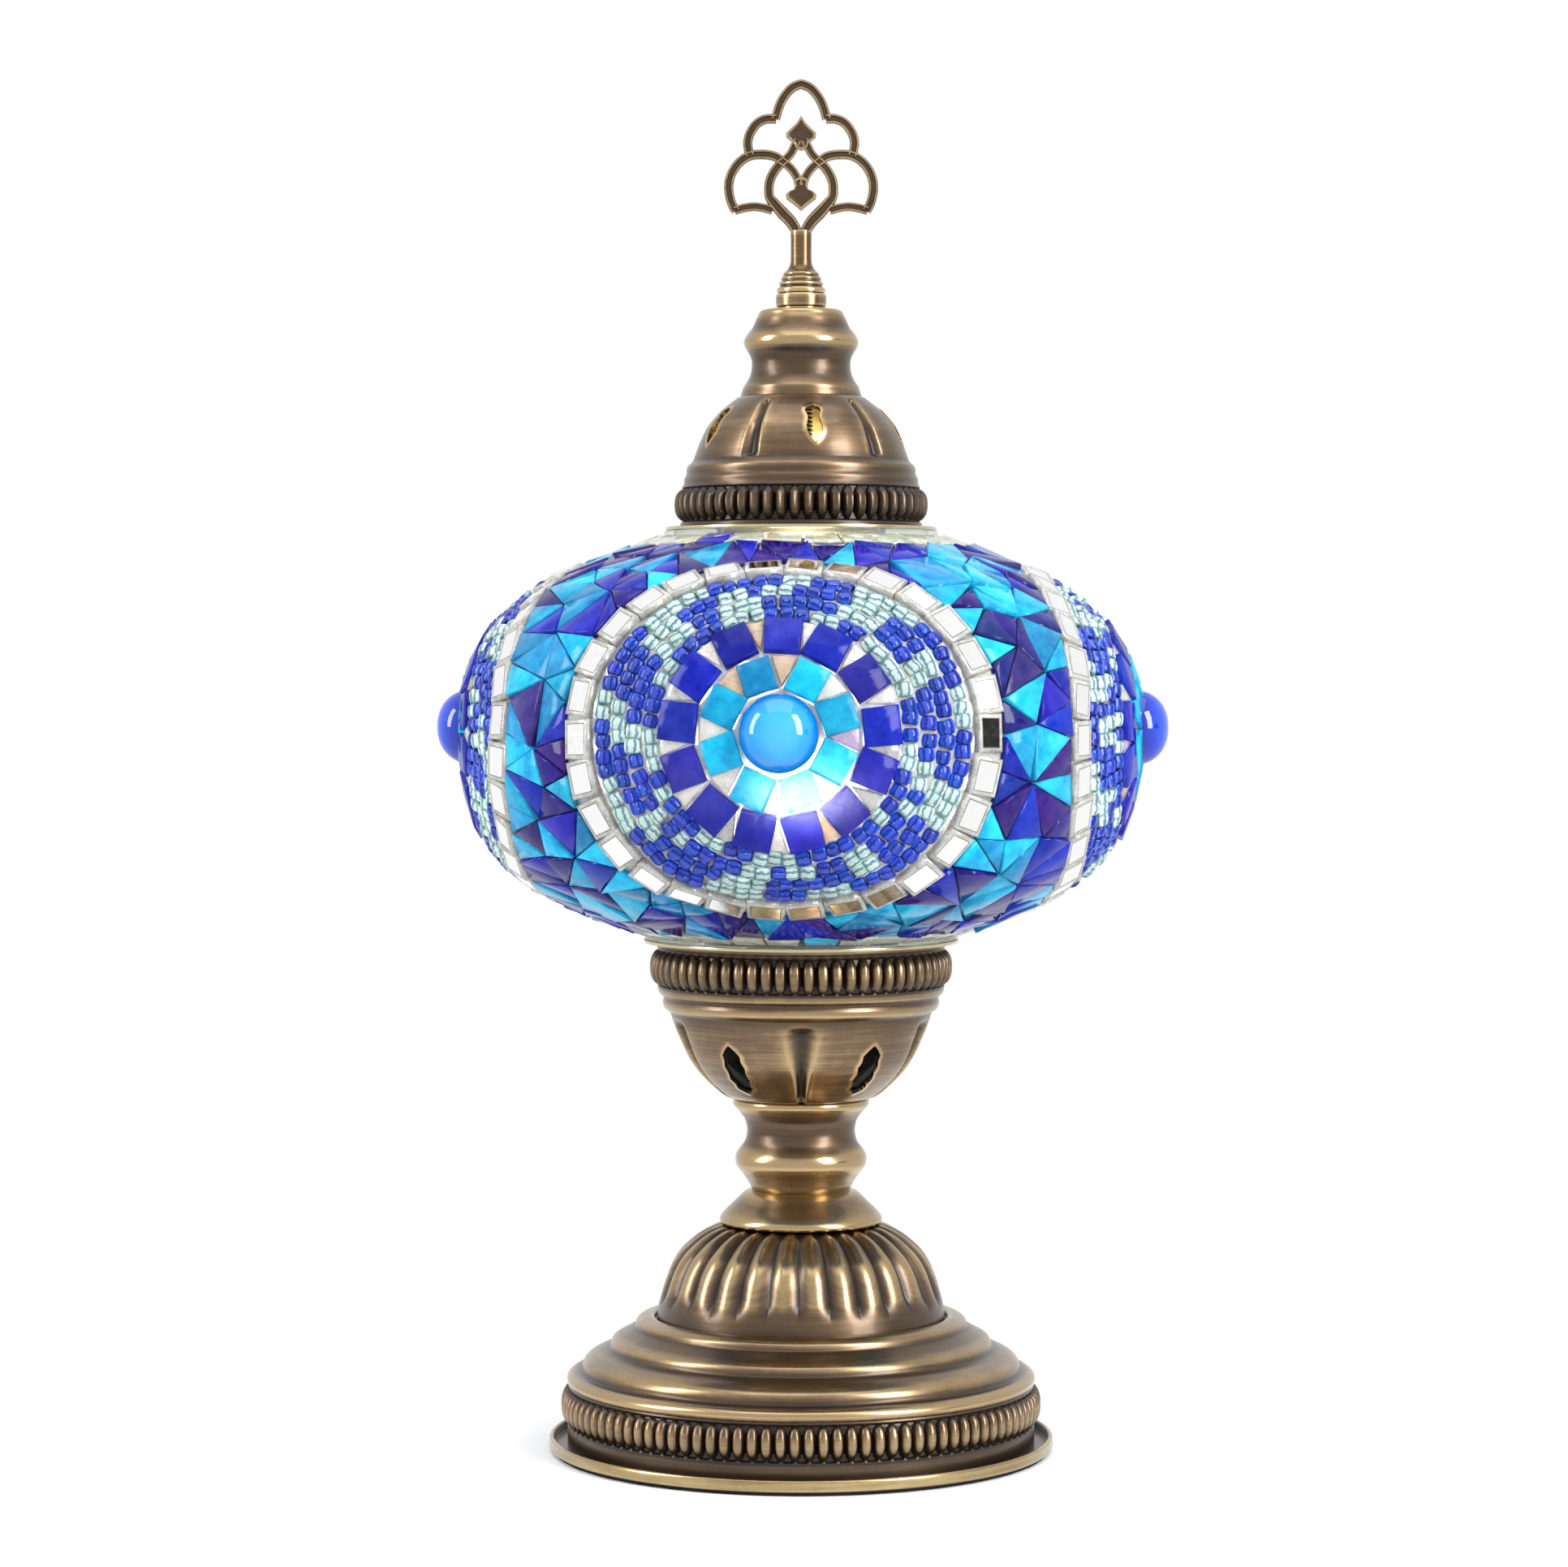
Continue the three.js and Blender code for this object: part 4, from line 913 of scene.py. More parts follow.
# geodesics from a medallion's centre
NPHI, DS, SMAX = 720, 0.25, 64.0
phi = np.arange(NPHI) * 2 * math.pi / NPHI
nst = int(SMAX / DS) + 1
TT, TH = np.zeros((nst, NPHI)), np.zeros((nst, NPHI))
t_, th_ = np.full(NPHI, T0), np.zeros(NPHI)
vt = np.sin(phi)
cc = g_r(T0) * np.cos(phi)
for k in range(nst):
    TT[k], TH[k] = t_, th_
    rr = g_r(t_)
    rt = (g_r(t_ + 0.5) - g_r(t_ - 0.5)) / 1.0
    vt = vt + DS * rt * cc ** 2 / rr ** 3
    lim = np.sqrt(np.maximum(0, 1 - (cc / rr) ** 2))
    vt = np.clip(vt, -1, 1)
    t_ = np.clip(t_ + DS * vt, 0, T_END)
    th_ = th_ + DS * cc / g_r(t_) ** 2


def med(s, ph):
    """(theta, t) at geodesic distance s and direction ph from a medallion's centre."""
    fi = (np.asarray(ph) % (2 * math.pi)) / (2 * math.pi) * NPHI
    i0 = np.floor(fi).astype(int) % NPHI
    f = fi - np.floor(fi)
    si = np.clip(np.asarray(s) / DS, 0, nst - 1.001)
    k0 = np.floor(si).astype(int)
    g = si - k0
    def pick(M):
        a = M[k0, i0] * (1 - f) + M[k0, (i0 + 1) % NPHI] * f
        b = M[k0 + 1, i0] * (1 - f) + M[k0 + 1, (i0 + 1) % NPHI] * f
        return a * (1 - g) + b * g
    return pick(TH), pick(TT)


def med_frame(s, ph, turn):
    th, t = med(s, ph)
    P = surf(th + turn, t)
    th1, t1 = med(s + 0.5, ph)
    th0, t0 = med(max(s - 0.5, 0.0), ph)
    es = surf(th1 + turn, t1) - surf(th0 + turn, t0)
    n = surf_normal(th + turn, t)
    es = es - n * np.dot(es, n)
    es /= np.linalg.norm(es)
    return P, es, np.cross(n, es), n


def ring_angles(s, count=None, pitch=None, start=0.0):
    """Directions that divide a geodesic circle evenly along its length."""
    ph = np.linspace(0, 2 * math.pi, 721)
    th, t = med(np.full(721, s), ph)
    P = surf(th, t)
    L = np.concatenate([[0], np.cumsum(np.linalg.norm(np.diff(P, axis=0), axis=1))])
    if count is None:
        count = int(round(L[-1] / pitch))
    q = ((np.arange(count) + start) / count) % 1.0 * L[-1]
    return np.interp(q, L, ph), L[-1] / count


class Heap:
    """Collects many small solids into one mesh."""

    def __init__(self):
        self.v, self.f = [], {3: [], 4: [], 5: [], 6: []}
        self.m = {3: [], 4: [], 5: [], 6: []}
        self.tint, self.seed, self.extra = [], [], []
        self.n = 0

    def solid(self, verts, faces, tint, seed, mats=None, extra=None):
        verts = np.asarray(verts)
        self.v.append(verts)
        for k, f in enumerate(faces):
            self.f[len(f)].append([i + self.n for i in f])
            self.m[len(f)].append(mats[k] if mats is not None else 0)
        self.tint.append(np.repeat(np.array([tint]), len(verts), 0))
        self.seed.append(np.full(len(verts), seed))
        self.extra.append(np.zeros(len(verts)) if extra is None else np.asarray(extra))
        self.n += len(verts)

    def make(self, name, body, slot, mats, nodes=(), smooth=False, angle=None, extra=None):
        if not self.n:
            return None
        faces, mi = [], []
        for k in (3, 4, 5, 6):
            if self.f[k]:
                faces.append(np.array(self.f[k]))
                mi += self.m[k]
        at = {"tint": np.concatenate(self.tint), "seed": np.concatenate(self.seed)}
        if extra:
            at[extra] = np.concatenate(self.extra)
        return build(name, np.concatenate(self.v), faces, body, mats, nodes, at, smooth, angle, mi)


def inset_poly(P, d):
    """Moves the sides of a convex polygon, listed anticlockwise, inwards by d."""
    n = len(P)
    out = []
    for i in range(n):
        a, b, c = P[i - 1], P[i], P[(i + 1) % n]
        u, v = (b - a) / max(np.linalg.norm(b - a), 1e-9), (c - b) / max(np.linalg.norm(c - b), 1e-9)
        n1, n2 = np.array([-u[1], u[0]]), np.array([-v[1], v[0]])
        k = n1 + n2
        k = k / max(0.25, np.dot(k, n1))
        out.append(b + k * d)
    return np.array(out)


def slab(heap, P2, O, ex, ey, n, low, high, bevel, tint, seed, tilt=(0.0, 0.0), face_inset=0.0, mats=(0, 0)):
    """A cut tile: polygon P2 in the plane (O, ex, ey), from low to high along n, edges eased by bevel.
    face_inset makes a smaller panel in the middle of its face, in the second material."""
    k = len(P2)
    rings = [(P2, low), (P2, high - bevel), (inset_poly(P2, bevel), high)]
    if face_inset:
        rings.append((inset_poly(P2, face_inset - 0.20), high))
        rings.append((inset_poly(P2, face_inset), high))
    verts = []
    for j, (Q, h) in enumerate(rings):
        for q in Q:
            hh = h + (tilt[0] * q[0] + tilt[1] * q[1] if j else 0.0)
            verts.append(O + ex * q[0] + ey * q[1] + n * hh)
    faces, mm = [], []
    for j in range(len(rings) - 1):
        for i in range(k):
            i1 = (i + 1) % k
            faces.append([j * k + i, j * k + i1, (j + 1) * k + i1, (j + 1) * k + i])
            mm.append(2 if face_inset and j == len(rings) - 2 else mats[0])
    top = (len(rings) - 1) * k
    faces.append([top + i for i in range(k)])
    mm.append(mats[1])
    faces.append([i for i in range(k)][::-1])
    mm.append(mats[0])
    heap.solid(verts, faces, tint, seed, mm)


def jit(c, a=0.10):
    f = 1 + rng.uniform(-a, a)
    return tuple(min(1.0, max(0.0, x * f + rng.uniform(-0.01, 0.01))) for x in c)


COBALT = (0.002, 0.013, 0.35)
COBALT_DARK = (0.014, 0.006, 0.16)
TURQ = (0.003, 0.42, 0.72)
TURQ_DEEP = (0.002, 0.24, 0.51)
BLUE_BEAD = (0.0005, 0.044, 0.47)
PALE_BEAD = (0.46, 0.61, 0.58)


def chip_tint():
    """Offcuts of clear, grey, amber and lilac glass."""
    return jit(rng.choice([(1.0, 1.0, 1.0), (0.97, 0.98, 1.0), (0.74, 0.76, 0.78), (0.80, 0.62, 0.46), (0.66, 0.55, 0.86), (0.9, 0.9, 0.92)]), 0.08)


TURNS = [math.radians(-3.75 + 90 * i) for i in range(4)]
SIDES = ["front", "right", "back", "left"]

# the bead: a round of glass with its hole, turned about its own axis
NB, NS = 14, 10
ba = np.arange(NB) * 2 * math.pi / NB
bs = np.arange(NS) * 2 * math.pi / NS
sq = lambda c: np.sign(c) * np.abs(c) ** 0.8
b_r = 1.32 + 0.74 * sq(np.cos(bs))
b_x = 1.62 * sq(np.sin(bs))
BV = np.array([[b_x[j], b_r[j] * math.cos(w), b_r[j] * math.sin(w)] for w in ba for j in range(NS)])
BANG = np.array([w / (2 * math.pi) for w in ba for j in range(NS)])
# How near each point of a bead lies to its hole ends; the bead material uses it for painted shade where beads meet.
BEAD_END_SHADE = np.array([abs(math.sin(bs[j])) for w in ba for j in range(NS)])
BF = np.array([[i * NS + j, ((i + 1) % NB) * NS + j, ((i + 1) % NB) * NS + (j + 1) % NS, i * NS + (j + 1) % NS] for i in range(NB) for j in range(NS)])[:, ::-1]


def is_blue(row, u, side):
    """Chevrons and patches of the two bead colours round a medallion."""
    a = u * 2 * math.pi
    v = math.sin(9 * a + 1.05 * row + side) + 0.75 * math.sin(13 * a - 1.3 * row + 2.1 * side + 0.6) + 0.35 * math.sin(5 * a + 0.4)
    return v > -0.12


for si, (side, turn) in enumerate(zip(SIDES, TURNS)):
    tiles, mirrors, chips = Heap(), Heap(), Heap()
    # ring 1: turquoise squares round the cabochon
    ph1, p1 = ring_angles(14.2, 8, start=0.42 + 0.1 * si)
    for a in ph1:
        a += rng.uniform(-0.03, 0.03)
        O, es, ep, n = med_frame(14.2, a, turn)
        w, h = 4.15 + rng.uniform(-0.2, 0.2), 4.1
        P2 = np.array([(-w, -h), (w, -h), (w, h), (-w, h)]) + nrng.uniform(-0.25, 0.25, (4, 2))
        slab(tiles, P2, O, ep, es, n, -3.0, 0.1, 0.22, jit(TURQ if rng.random() < 0.8 else TURQ_DEEP, 0.18), rng.random(), (rng.uniform(-0.03, 0.03), rng.uniform(-0.03, 0.03)))
    step1 = 2 * math.pi / 8
    for a in ph1:
        O, es, ep, n = med_frame(16.4, a + step1 / 2, turn)
        P2 = np.array([(0.0, -5.2), (3.0, 2.2), (-3.0, 2.2)]) + nrng.uniform(-0.2, 0.2, (3, 2))
        slab(chips, P2, O, ep, es, n, -3.0, -0.7, 0.30, chip_tint(), rng.random(), (rng.uniform(-0.05, 0.05), rng.uniform(-0.05, 0.05)))
    # ring 2: cobalt squares
    ph2, p2 = ring_angles(23.9, 13, start=0.2 + 0.07 * si)
    for a in ph2:
        a += rng.uniform(-0.02, 0.02)
        O, es, ep, n = med_frame(23.9, a, turn)
        w, h = 4.35 + rng.uniform(-0.2, 0.2), 4.4
        P2 = np.array([(-w, -h), (w, -h), (w, h), (-w, h)]) + nrng.uniform(-0.25, 0.25, (4, 2))
        slab(tiles, P2, O, ep, es, n, -3.0, 0.15, 0.22, jit(COBALT, 0.25), rng.random(), (rng.uniform(-0.035, 0.035), rng.uniform(-0.035, 0.035)))
    step2 = 2 * math.pi / 13
    for a in ph2:
        O, es, ep, n = med_frame(25.6, a + step2 / 2, turn)
        P2 = np.array([(0.0, -4.6), (2.3, 2.6), (-2.3, 2.6)]) + nrng.uniform(-0.2, 0.2, (3, 2))
        slab(chips, P2, O, ep, es, n, -3.0, -0.6, 0.30, chip_tint(), rng.random(), (rng.uniform(-0.05, 0.05), rng.uniform(-0.05, 0.05)))
    # mirror tiles round the rim
    ph3, p3 = ring_angles(50.9, 30, start=0.1 * si)
    for a in ph3:
        a += rng.uniform(-0.008, 0.008)
        O, es, ep, n = med_frame(50.9, a, turn)
        w, h = 0.47 * p3 + rng.uniform(-0.15, 0.1), 3.75 + rng.uniform(-0.2, 0.2)
        P2 = np.array([(-w, -h), (w, -h), (w, h), (-w, h)]) + nrng.uniform(-0.2, 0.2, (4, 2))
        slab(mirrors, P2, O, ep, es, n, -3.0, 0.1, 0.35, (1, 1, 1), rng.random(), (rng.uniform(-0.08, 0.08), rng.uniform(-0.10, 0.06)), 1.15, (0, 1))
    # four rows of beads strung round the circle
    V, F, TI, AN, SE = [], [], [], [], []
    cnt = 0
    for row, s in enumerate((31.1, 35.5, 39.9, 44.3)):
        phb, pb = ring_angles(s, pitch=3.52, start=rng.random())
        for i, a in enumerate(phb):
            a = a + rng.uniform(-0.010, 0.010)
            O, es, ep, n = med_frame(s + rng.uniform(-0.35, 0.35), a, turn)
            k = rng.uniform(-0.28, 0.28)
            ax = ep * math.cos(k) + es * math.sin(k)
            ax = ax + n * rng.uniform(-0.15, 0.15)
            ax /= np.linalg.norm(ax)
            up = n - ax * np.dot(n, ax)
            up /= np.linalg.norm(up)
            sd = np.cross(ax, up)
            g = rng.uniform(0.93, 1.05)
            C = O + n * (-1.95 + rng.uniform(-0.25, 0.2))
            L = BV * g
            V.append(C + L[:, :1] * ax * (1.04 * pb / 3.4) + L[:, 1:2] * up + L[:, 2:3] * sd * 1.07)
            F.append(BF + cnt)
            cnt += len(BV)
            blue = is_blue(row, a / (2 * math.pi), si)
            if rng.random() < 0.06:
                blue = not blue
            TI.append(np.repeat(np.array([jit(BLUE_BEAD, 0.2) if blue else jit(PALE_BEAD, 0.12)]), len(BV), 0))
            AN.append(BANG)
            SE.append(np.full(len(BV), rng.random()))
    beads = build("beads_" + side, np.concatenate(V), np.concatenate(F), "globe", [BEAD], (),
                  {"tint": np.concatenate(TI), "ang": np.concatenate(AN), "seed": np.concatenate(SE), "rim": np.tile(BEAD_END_SHADE, len(TI))}, True)
    tiles.make("square_tiles_" + side, "globe", "mosaic_glass", [TILE], ["mosaic_medallion_" + side])
    chips.make("clear_chips_" + side, "globe", "mosaic_glass", [CLEAR])
    mirrors.make("mirror_tiles_" + side, "globe", "mosaic_glass", [EDGE, MIRROR, LINE])
    # cabochon
    C, es, ep, n = med_frame(0.01, 0.0, turn)
    n = np.array([math.sin(turn), -math.cos(turn), 0.0])
    ex, ez = np.array([math.cos(turn), math.sin(turn), 0.0]), np.array([0.0, 0.0, 1.0])
    na, nr_ = 64, 16
    V, Hh = [], []
    prof = [(9.1, 81.5), (9.15, 82.3)] + [(9.15 * math.cos(b) ** 0.9, 82.3 + 7.9 * math.sin(b)) for b in np.linspace(0.06, math.pi / 2 - 0.02, nr_)]
    for r, d in prof:
        for w in range(na):
            q = w * 2 * math.pi / na
            V.append(n * d + np.array([0, 0, MZ]) + (ex * math.cos(q) + ez * math.sin(q)) * r)
            Hh.append(max(0.0, (d - 82.3) / 7.9))
    top, bot = len(V), len(V) + 1
    V += [n * 90.2 + np.array([0, 0, MZ]), n * 81.5 + np.array([0, 0, MZ])]
    Hh += [1.0, 0.0]
    F4, F3 = [], []
    for j in range(len(prof) - 1):
        for w in range(na):
            w1 = (w + 1) % na
            F4.append([j * na + w, j * na + w1, (j + 1) * na + w1, (j + 1) * na + w])
    last = (len(prof) - 1) * na
    for w in range(na):
        w1 = (w + 1) % na
        F3.append([last + w, last + w1, top])
        F3.append([w1, w, bot])
    build("cabochon_gem_" + side, np.array(V), [np.array(F3), np.array(F4)], "globe",
          [CAB_TURQ if side == "front" else CAB_BLUE], ["cabochon_" + side], {"height": np.array(Hh)}, True, 50)

# ------------------------------------------------------------------ field of cut triangles between the medallions
med_c = [surf(np.array(turn), np.array(T0)) for turn in TURNS]
tbl_th, tbl_t = TH[::4, ::6], TT[::4, ::6]
tbl_s = np.repeat((np.arange(nst) * DS)[::4, None], tbl_th.shape[1], 1).ravel()
tbl_P = surf(tbl_th, tbl_t).reshape(-1, 3)
med_tree = KDTree(len(tbl_P))
for i, p in enumerate(tbl_P):
    med_tree.insert(p, i)
med_tree.balance()


def med_distance(theta, t):
    """Geodesic distance to the nearest medallion's centre (large if beyond the table)."""
    theta = np.asarray(theta, float)
    loc = (theta - TURNS[0] + math.pi / 4) % (math.pi / 2) - math.pi / 4
    P = surf(loc, np.asarray(t, float))
    out = np.full(len(P), 99.0)
    for i, p in enumerate(P):
        _, k, d = med_tree.find(p)
        if d < 3.0:
            out[i] = tbl_s[k]
    return out


conf = np.concatenate([[0], np.cumsum(np.diff(Gt) / (0.5 * (G[1:, 0] + G[:-1, 0])))])  # conformal height
FL_TOP, FL_BOT = T_END - 7.2, 6.6
pts_a, pts_t = [], []


def add_point(th, t, mind):
    P = surf(np.array(th), np.array(t))
    if pts_a:
        Q = surf(np.array(pts_a), np.array(pts_t))
        if ((Q - P) ** 2).sum(1).min() < mind * mind:
            return False
    pts_a.append(th % (2 * math.pi))
    pts_t.append(t)
    return True


for turn in TURNS:
    pb, _ = ring_angles(55.2, 36)
    for a in pb:
        th, t = med(55.2, a)
        if FL_BOT + 0.5 < t < FL_TOP - 0.5:
            add_point(float(th) + turn, float(t), 4.0)
for t_ring, cnt_ in ((FL_TOP, 26), (FL_BOT, 28)):
    for i in range(cnt_):
        add_point((i + 0.5 * rng.random()) * 2 * math.pi / cnt_, t_ring, 3.5)
tries = 0
cand_a, cand_t = nrng.uniform(0, 2 * math.pi, 9000), nrng.uniform(FL_BOT + 2.5, FL_TOP - 2.5, 9000)
cand_d = med_distance(cand_a, cand_t)
keep_r = nrng.random(9000) < g_r(cand_t) / 84.5
for th, t, d, ok in zip(cand_a, cand_t, cand_d, keep_r):
    if ok and d > 58.2:
        add_point(float(th), float(t), 8.7)

A2, T2 = np.array(pts_a), np.array(pts_t)
Y2 = np.interp(T2, Gt, conf)
co2, ids = [], []
for k in (-1, 0, 1):
    for i in range(len(A2)):
        x = A2[i] + k * 2 * math.pi
        if -0.6 < x < 2 * math.pi + 0.6:
            co2.append(Vector((x, float(Y2[i]))))
            ids.append(i)
res = delaunay_2d_cdt(co2, [], [], 0, 1e-7)
field = Heap()
tri_pts = []
for f in res[2]:
    if len(f) != 3:
        continue
    q = [res[0][i] for i in f]
    cx = sum(v[0] for v in q) / 3
    if not (0 <= cx < 2 * math.pi):
        continue
    tri_pts.append([(v[0], float(np.interp(v[1], conf, Gt))) for v in q])
cen = np.array([[sum(p[0] for p in t) / 3, sum(p[1] for p in t) / 3] for t in tri_pts])
dist = med_distance(cen[:, 0], cen[:, 1])
for tri, c, d in zip(tri_pts, cen, dist):
    if d < 55.0:
        continue
    if c[1] > FL_TOP or c[1] < FL_BOT:
        continue
    P = np.array([surf(np.array(a), np.array(t)) for a, t in tri])
    O = P.mean(0)
    n = surf_normal(np.array(c[0]), np.array(c[1]))
    nf = np.cross(P[1] - P[0], P[2] - P[0])
    if np.linalg.norm(nf) < 4.0:
        continue
    nf /= np.linalg.norm(nf)
    if np.dot(nf, n) < 0:
        P = P[::-1]
        nf = -nf
    ex = P[1] - P[0]
    ex = ex - nf * np.dot(ex, nf)
    ex /= np.linalg.norm(ex)
    ey = np.cross(nf, ex)
    P2 = np.stack([(P - O) @ ex, (P - O) @ ey], 1)
    e = [np.linalg.norm(P2[i] - P2[i - 1]) for i in range(3)]
    if max(e) > 22 or min(e) < 2.5:
        continue
    P2 = inset_poly(P2, 0.20)
    sag = float(np.dot(surf(np.array(c[0]), np.array(c[1])) - O, n))
    r = rng.random()
    tint = COBALT_DARK if r < 0.34 else COBALT if r < 0.56 else TURQ if r < 0.82 else TURQ_DEEP
    slab(field, P2, O, ex, ey, nf, -2.6, sag * 0.8 + rng.uniform(-0.45, 0.15), 0.30, jit(tint, 0.22), rng.random(), (rng.uniform(-0.10, 0.10), rng.uniform(-0.10, 0.10)))
field.make("field_triangles", "globe", "mosaic_glass", [FIELD], ["mosaic_field"])

# pale tiles at both mouths
mouth = Heap()
gold_bits = Heap()
for t0, t1, cnt_ in ((FL_TOP + 0.3, T_END - 0.1, 27), (0.1, FL_BOT - 0.3, 29)):
    for i in range(cnt_):
        a0, a1 = (i + 0.04) * 2 * math.pi / cnt_, (i + 0.96) * 2 * math.pi / cnt_
        j = rng.uniform(-0.02, 0.02)
        quad = np.array([surf(np.array(a0 + j), np.array(t0)), surf(np.array(a1 + rng.uniform(-0.01, 0.01)), np.array(t0)), surf(np.array(a1), np.array(t1)), surf(np.array(a0), np.array(t1))])
        O = quad.mean(0)
        n = surf_normal(np.array((a0 + a1) / 2), np.array((t0 + t1) / 2))
        ex = quad[1] - quad[0]
        ex = ex - n * np.dot(ex, n)
        ex /= np.linalg.norm(ex)
        ey = np.cross(n, ex)
        P2 = np.stack([(quad - O) @ ex, (quad - O) @ ey], 1)
        if rng.random() < 0.82:
            slab(mouth, P2, O, ex, ey, n, -2.6, -0.15, 0.25, (1, 1, 1), rng.random(), (rng.uniform(-0.04, 0.04), rng.uniform(-0.04, 0.04)))
        else:
            slab(gold_bits, P2, O, ex, ey, n, -2.6, -0.1, 0.25, jit(COBALT if rng.random() < 0.5 else TURQ), rng.random())
mouth.make("mouth_tiles_pale", "globe", "mosaic_glass", [FLANGE_GLASS])
gold_bits.make("mouth_tiles_blue", "globe", "mosaic_glass", [FIELD])

# resin bed under the tiles, and the blown glass inside it
na, ts = 480, np.linspace(0.05, T_END - 0.05, 150)
aa = np.arange(na) * 2 * math.pi / na
AA, TS = np.meshgrid(aa, ts)
zd = med_distance(AA.ravel(), TS.ravel()).reshape(AA.shape)
# zone: 1 on the pale bed inside the medallions, 0 on the dark bed of the field; in the bead rows, 28.5 to 46.2 mm from
# a medallion's centre, it is lowered by 0.42 as painted shadow between the beads.
zone = np.clip((55.4 - zd) / 0.8, 0, 1) * (1 - 0.42 * np.clip((zd - 28.5) / 1.0, 0, 1) * np.clip((46.2 - zd) / 1.0, 0, 1))
hump = 0.16 * np.sin(AA * 61 + 3 * np.sin(TS * 0.21)) * np.sin(TS * 0.83 + 2 * np.sin(AA * 7))
bed_o = surf(AA, TS, -1.55 + hump)
bed_i = surf(AA, TS, -2.9)
vid = np.arange(AA.size).reshape(AA.shape)
nx = np.roll(vid, -1, 1)
q = np.stack([vid[:-1], nx[:-1], nx[1:], vid[1:]], 2).reshape(-1, 4)
off = AA.size
caps = [np.stack([vid[0] + off, nx[0] + off, nx[0], vid[0]], 1), np.stack([vid[-1], nx[-1], nx[-1] + off, vid[-1] + off], 1)]
build("resin_bed", np.concatenate([bed_o.reshape(-1, 3), bed_i.reshape(-1, 3)]), np.concatenate([q, q[:, ::-1] + off] + caps), "globe", [GROUT], (),
      {"zone": np.concatenate([zone.ravel(), zone.ravel()])}, True, 40)

gi = [(38.5, 126.45, 1), (38.5, 130.4)] + [tuple(G[i] - GN[i] * 3.4) for i in range(16, len(G) - 14, 12)] + [(33.7, 222.6), (33.7, 226.5, 1), (31.4, 226.5, 1), (31.4, 220.9)] + \
     [tuple(G[i] - GN[i] * 5.7) for i in range(len(G) - 18, 20, -12)] + [(36.0, 131.9), (36.0, 126.45, 1)]
turned("blown_globe", "glass_globe", gi, "globe", GLASS, 144, 1.6)
turned("mouth_ring_lower", "globe_ring_lower", [(33.2, 121.4), (34.1, 121.4), (34.1, 125.5), (38.8, 125.5), (38.8, 126.3), (33.2, 126.3)], "globe", RING, 240, 0.35, chamfer=0.15)
turned("mouth_ring_upper", "globe_ring_upper", [(27.6, 226.7), (33.3, 226.7), (33.3, 227.5), (28.5, 227.5), (28.5, 230.6), (27.6, 230.6)], "globe", RING, 240, 0.35, chamfer=0.15)

# ------------------------------------------------------------------ cap
cap_pts = [(29.7, 227.75), (29.7, 228.3), (29.4, 228.8), (29.3, 229.6), (29.3, 236.2), (29.3, 237.0), (29.0, 237.7), (28.75, 238.4), (28.75, 239.3), (28.45, 239.9), (28.15, 240.6), (28.15, 241.6), (27.9, 242.5),
           (27.3, 243.0), (26.6, 243.7), (26.2, 244.8), (25.7, 246.2), (25.2, 247.6), (24.6, 249.0), (23.9, 250.5), (23.0, 252.2), (22.0, 253.5), (20.8, 254.9), (19.3, 256.4), (17.7, 257.7), (16.4, 258.7),
           (15.4, 259.4), (11.0, 259.5)]
cap_beads = beads_band(57, 229.0, 236.9, 1.75, 0.5, 0.12, dark=0.0, light=0.46, power=2.0)
cap_outline = [(0, 5.4), (0.8, 5.0), (1.7, 4.5), (1.95, 3.5), (1.55, 2.2), (1.5, 1.0), (1.75, 0.0), (2.0, -1.2), (1.9, -2.6), (1.3, -3.9), (0.6, -5.0), (0, -5.6),
               (-0.7, -4.9), (-1.4, -3.8), (-1.95, -2.5), (-1.95, -1.1), (-1.7, 0.1), (-1.45, 1.1), (-1.6, 2.3), (-2.0, 3.4), (-1.7, 4.4), (-0.9, 4.9)]
cap_fl = flutes([math.radians(d) for d in (-28.3, 43.7, 115.7, 187.7, 259.7)], 245.0, 257.4, lambda Z: 1.5 - 0.05 * np.clip(Z - 245, 0, 12), 1.25, 1.2)
Co = curve_points(cap_pts, 0.34)
Cs = np.concatenate([[0], np.cumsum(np.linalg.norm(np.diff(Co, axis=0), axis=1))])
s_cap = float(np.interp(252.4, Co[:, 1], Cs))
cap_slots = [(math.radians(7.7 + 72 * i), s_cap, cap_outline) for i in range(5)]
# The cap's foot, z 227 to 228.9, is darkened: patina, with painted shadow where it sits over the globe's mouth.
shell("slotted_cap", "cap_dome", cap_pts, "cap", ANTIQUE, 684, 0.34, 0.8, lambda A, S, R, Z: cap_beads(A, S, R, Z) + cap_fl(A, S, R, Z), cap_slots, soft=1.9, gain=0.7, shade=cap_beads.shade, lining=LAMPLIT_INSIDE,
      base_relief=lambda A, S, R, Z: -0.12 * window(Z, 236.8, 243.5, 1.0) - 0.25 * window(Z, 227, 228.9, 0.3) - 0.06)
cneck_pts = [(14.9, 259.55), (14.7, 260.3), (14.4, 261.2), (14.2, 261.9), (13.5, 262.9), (12.8, 264.1), (12.35, 265.3), (12.15, 266.6), (12.1, 268.0), (12.35, 269.1), (12.8, 270.1), (13.5, 271.2),
             (14.0, 272.3), (14.05, 273.2), (13.8, 273.9), (13.1, 275.0), (12.1, 276.2), (11.5, 277.4), (11.0, 278.6), (10.5, 279.6), (10.2, 280.3), (9.6, 280.75), (3.6, 280.8)]
shell("spun_cap_neck", "cap_neck", cneck_pts, "cap", ANTIQUE, 192, 0.3, 0.8, soft=2.0, gain=0.75)

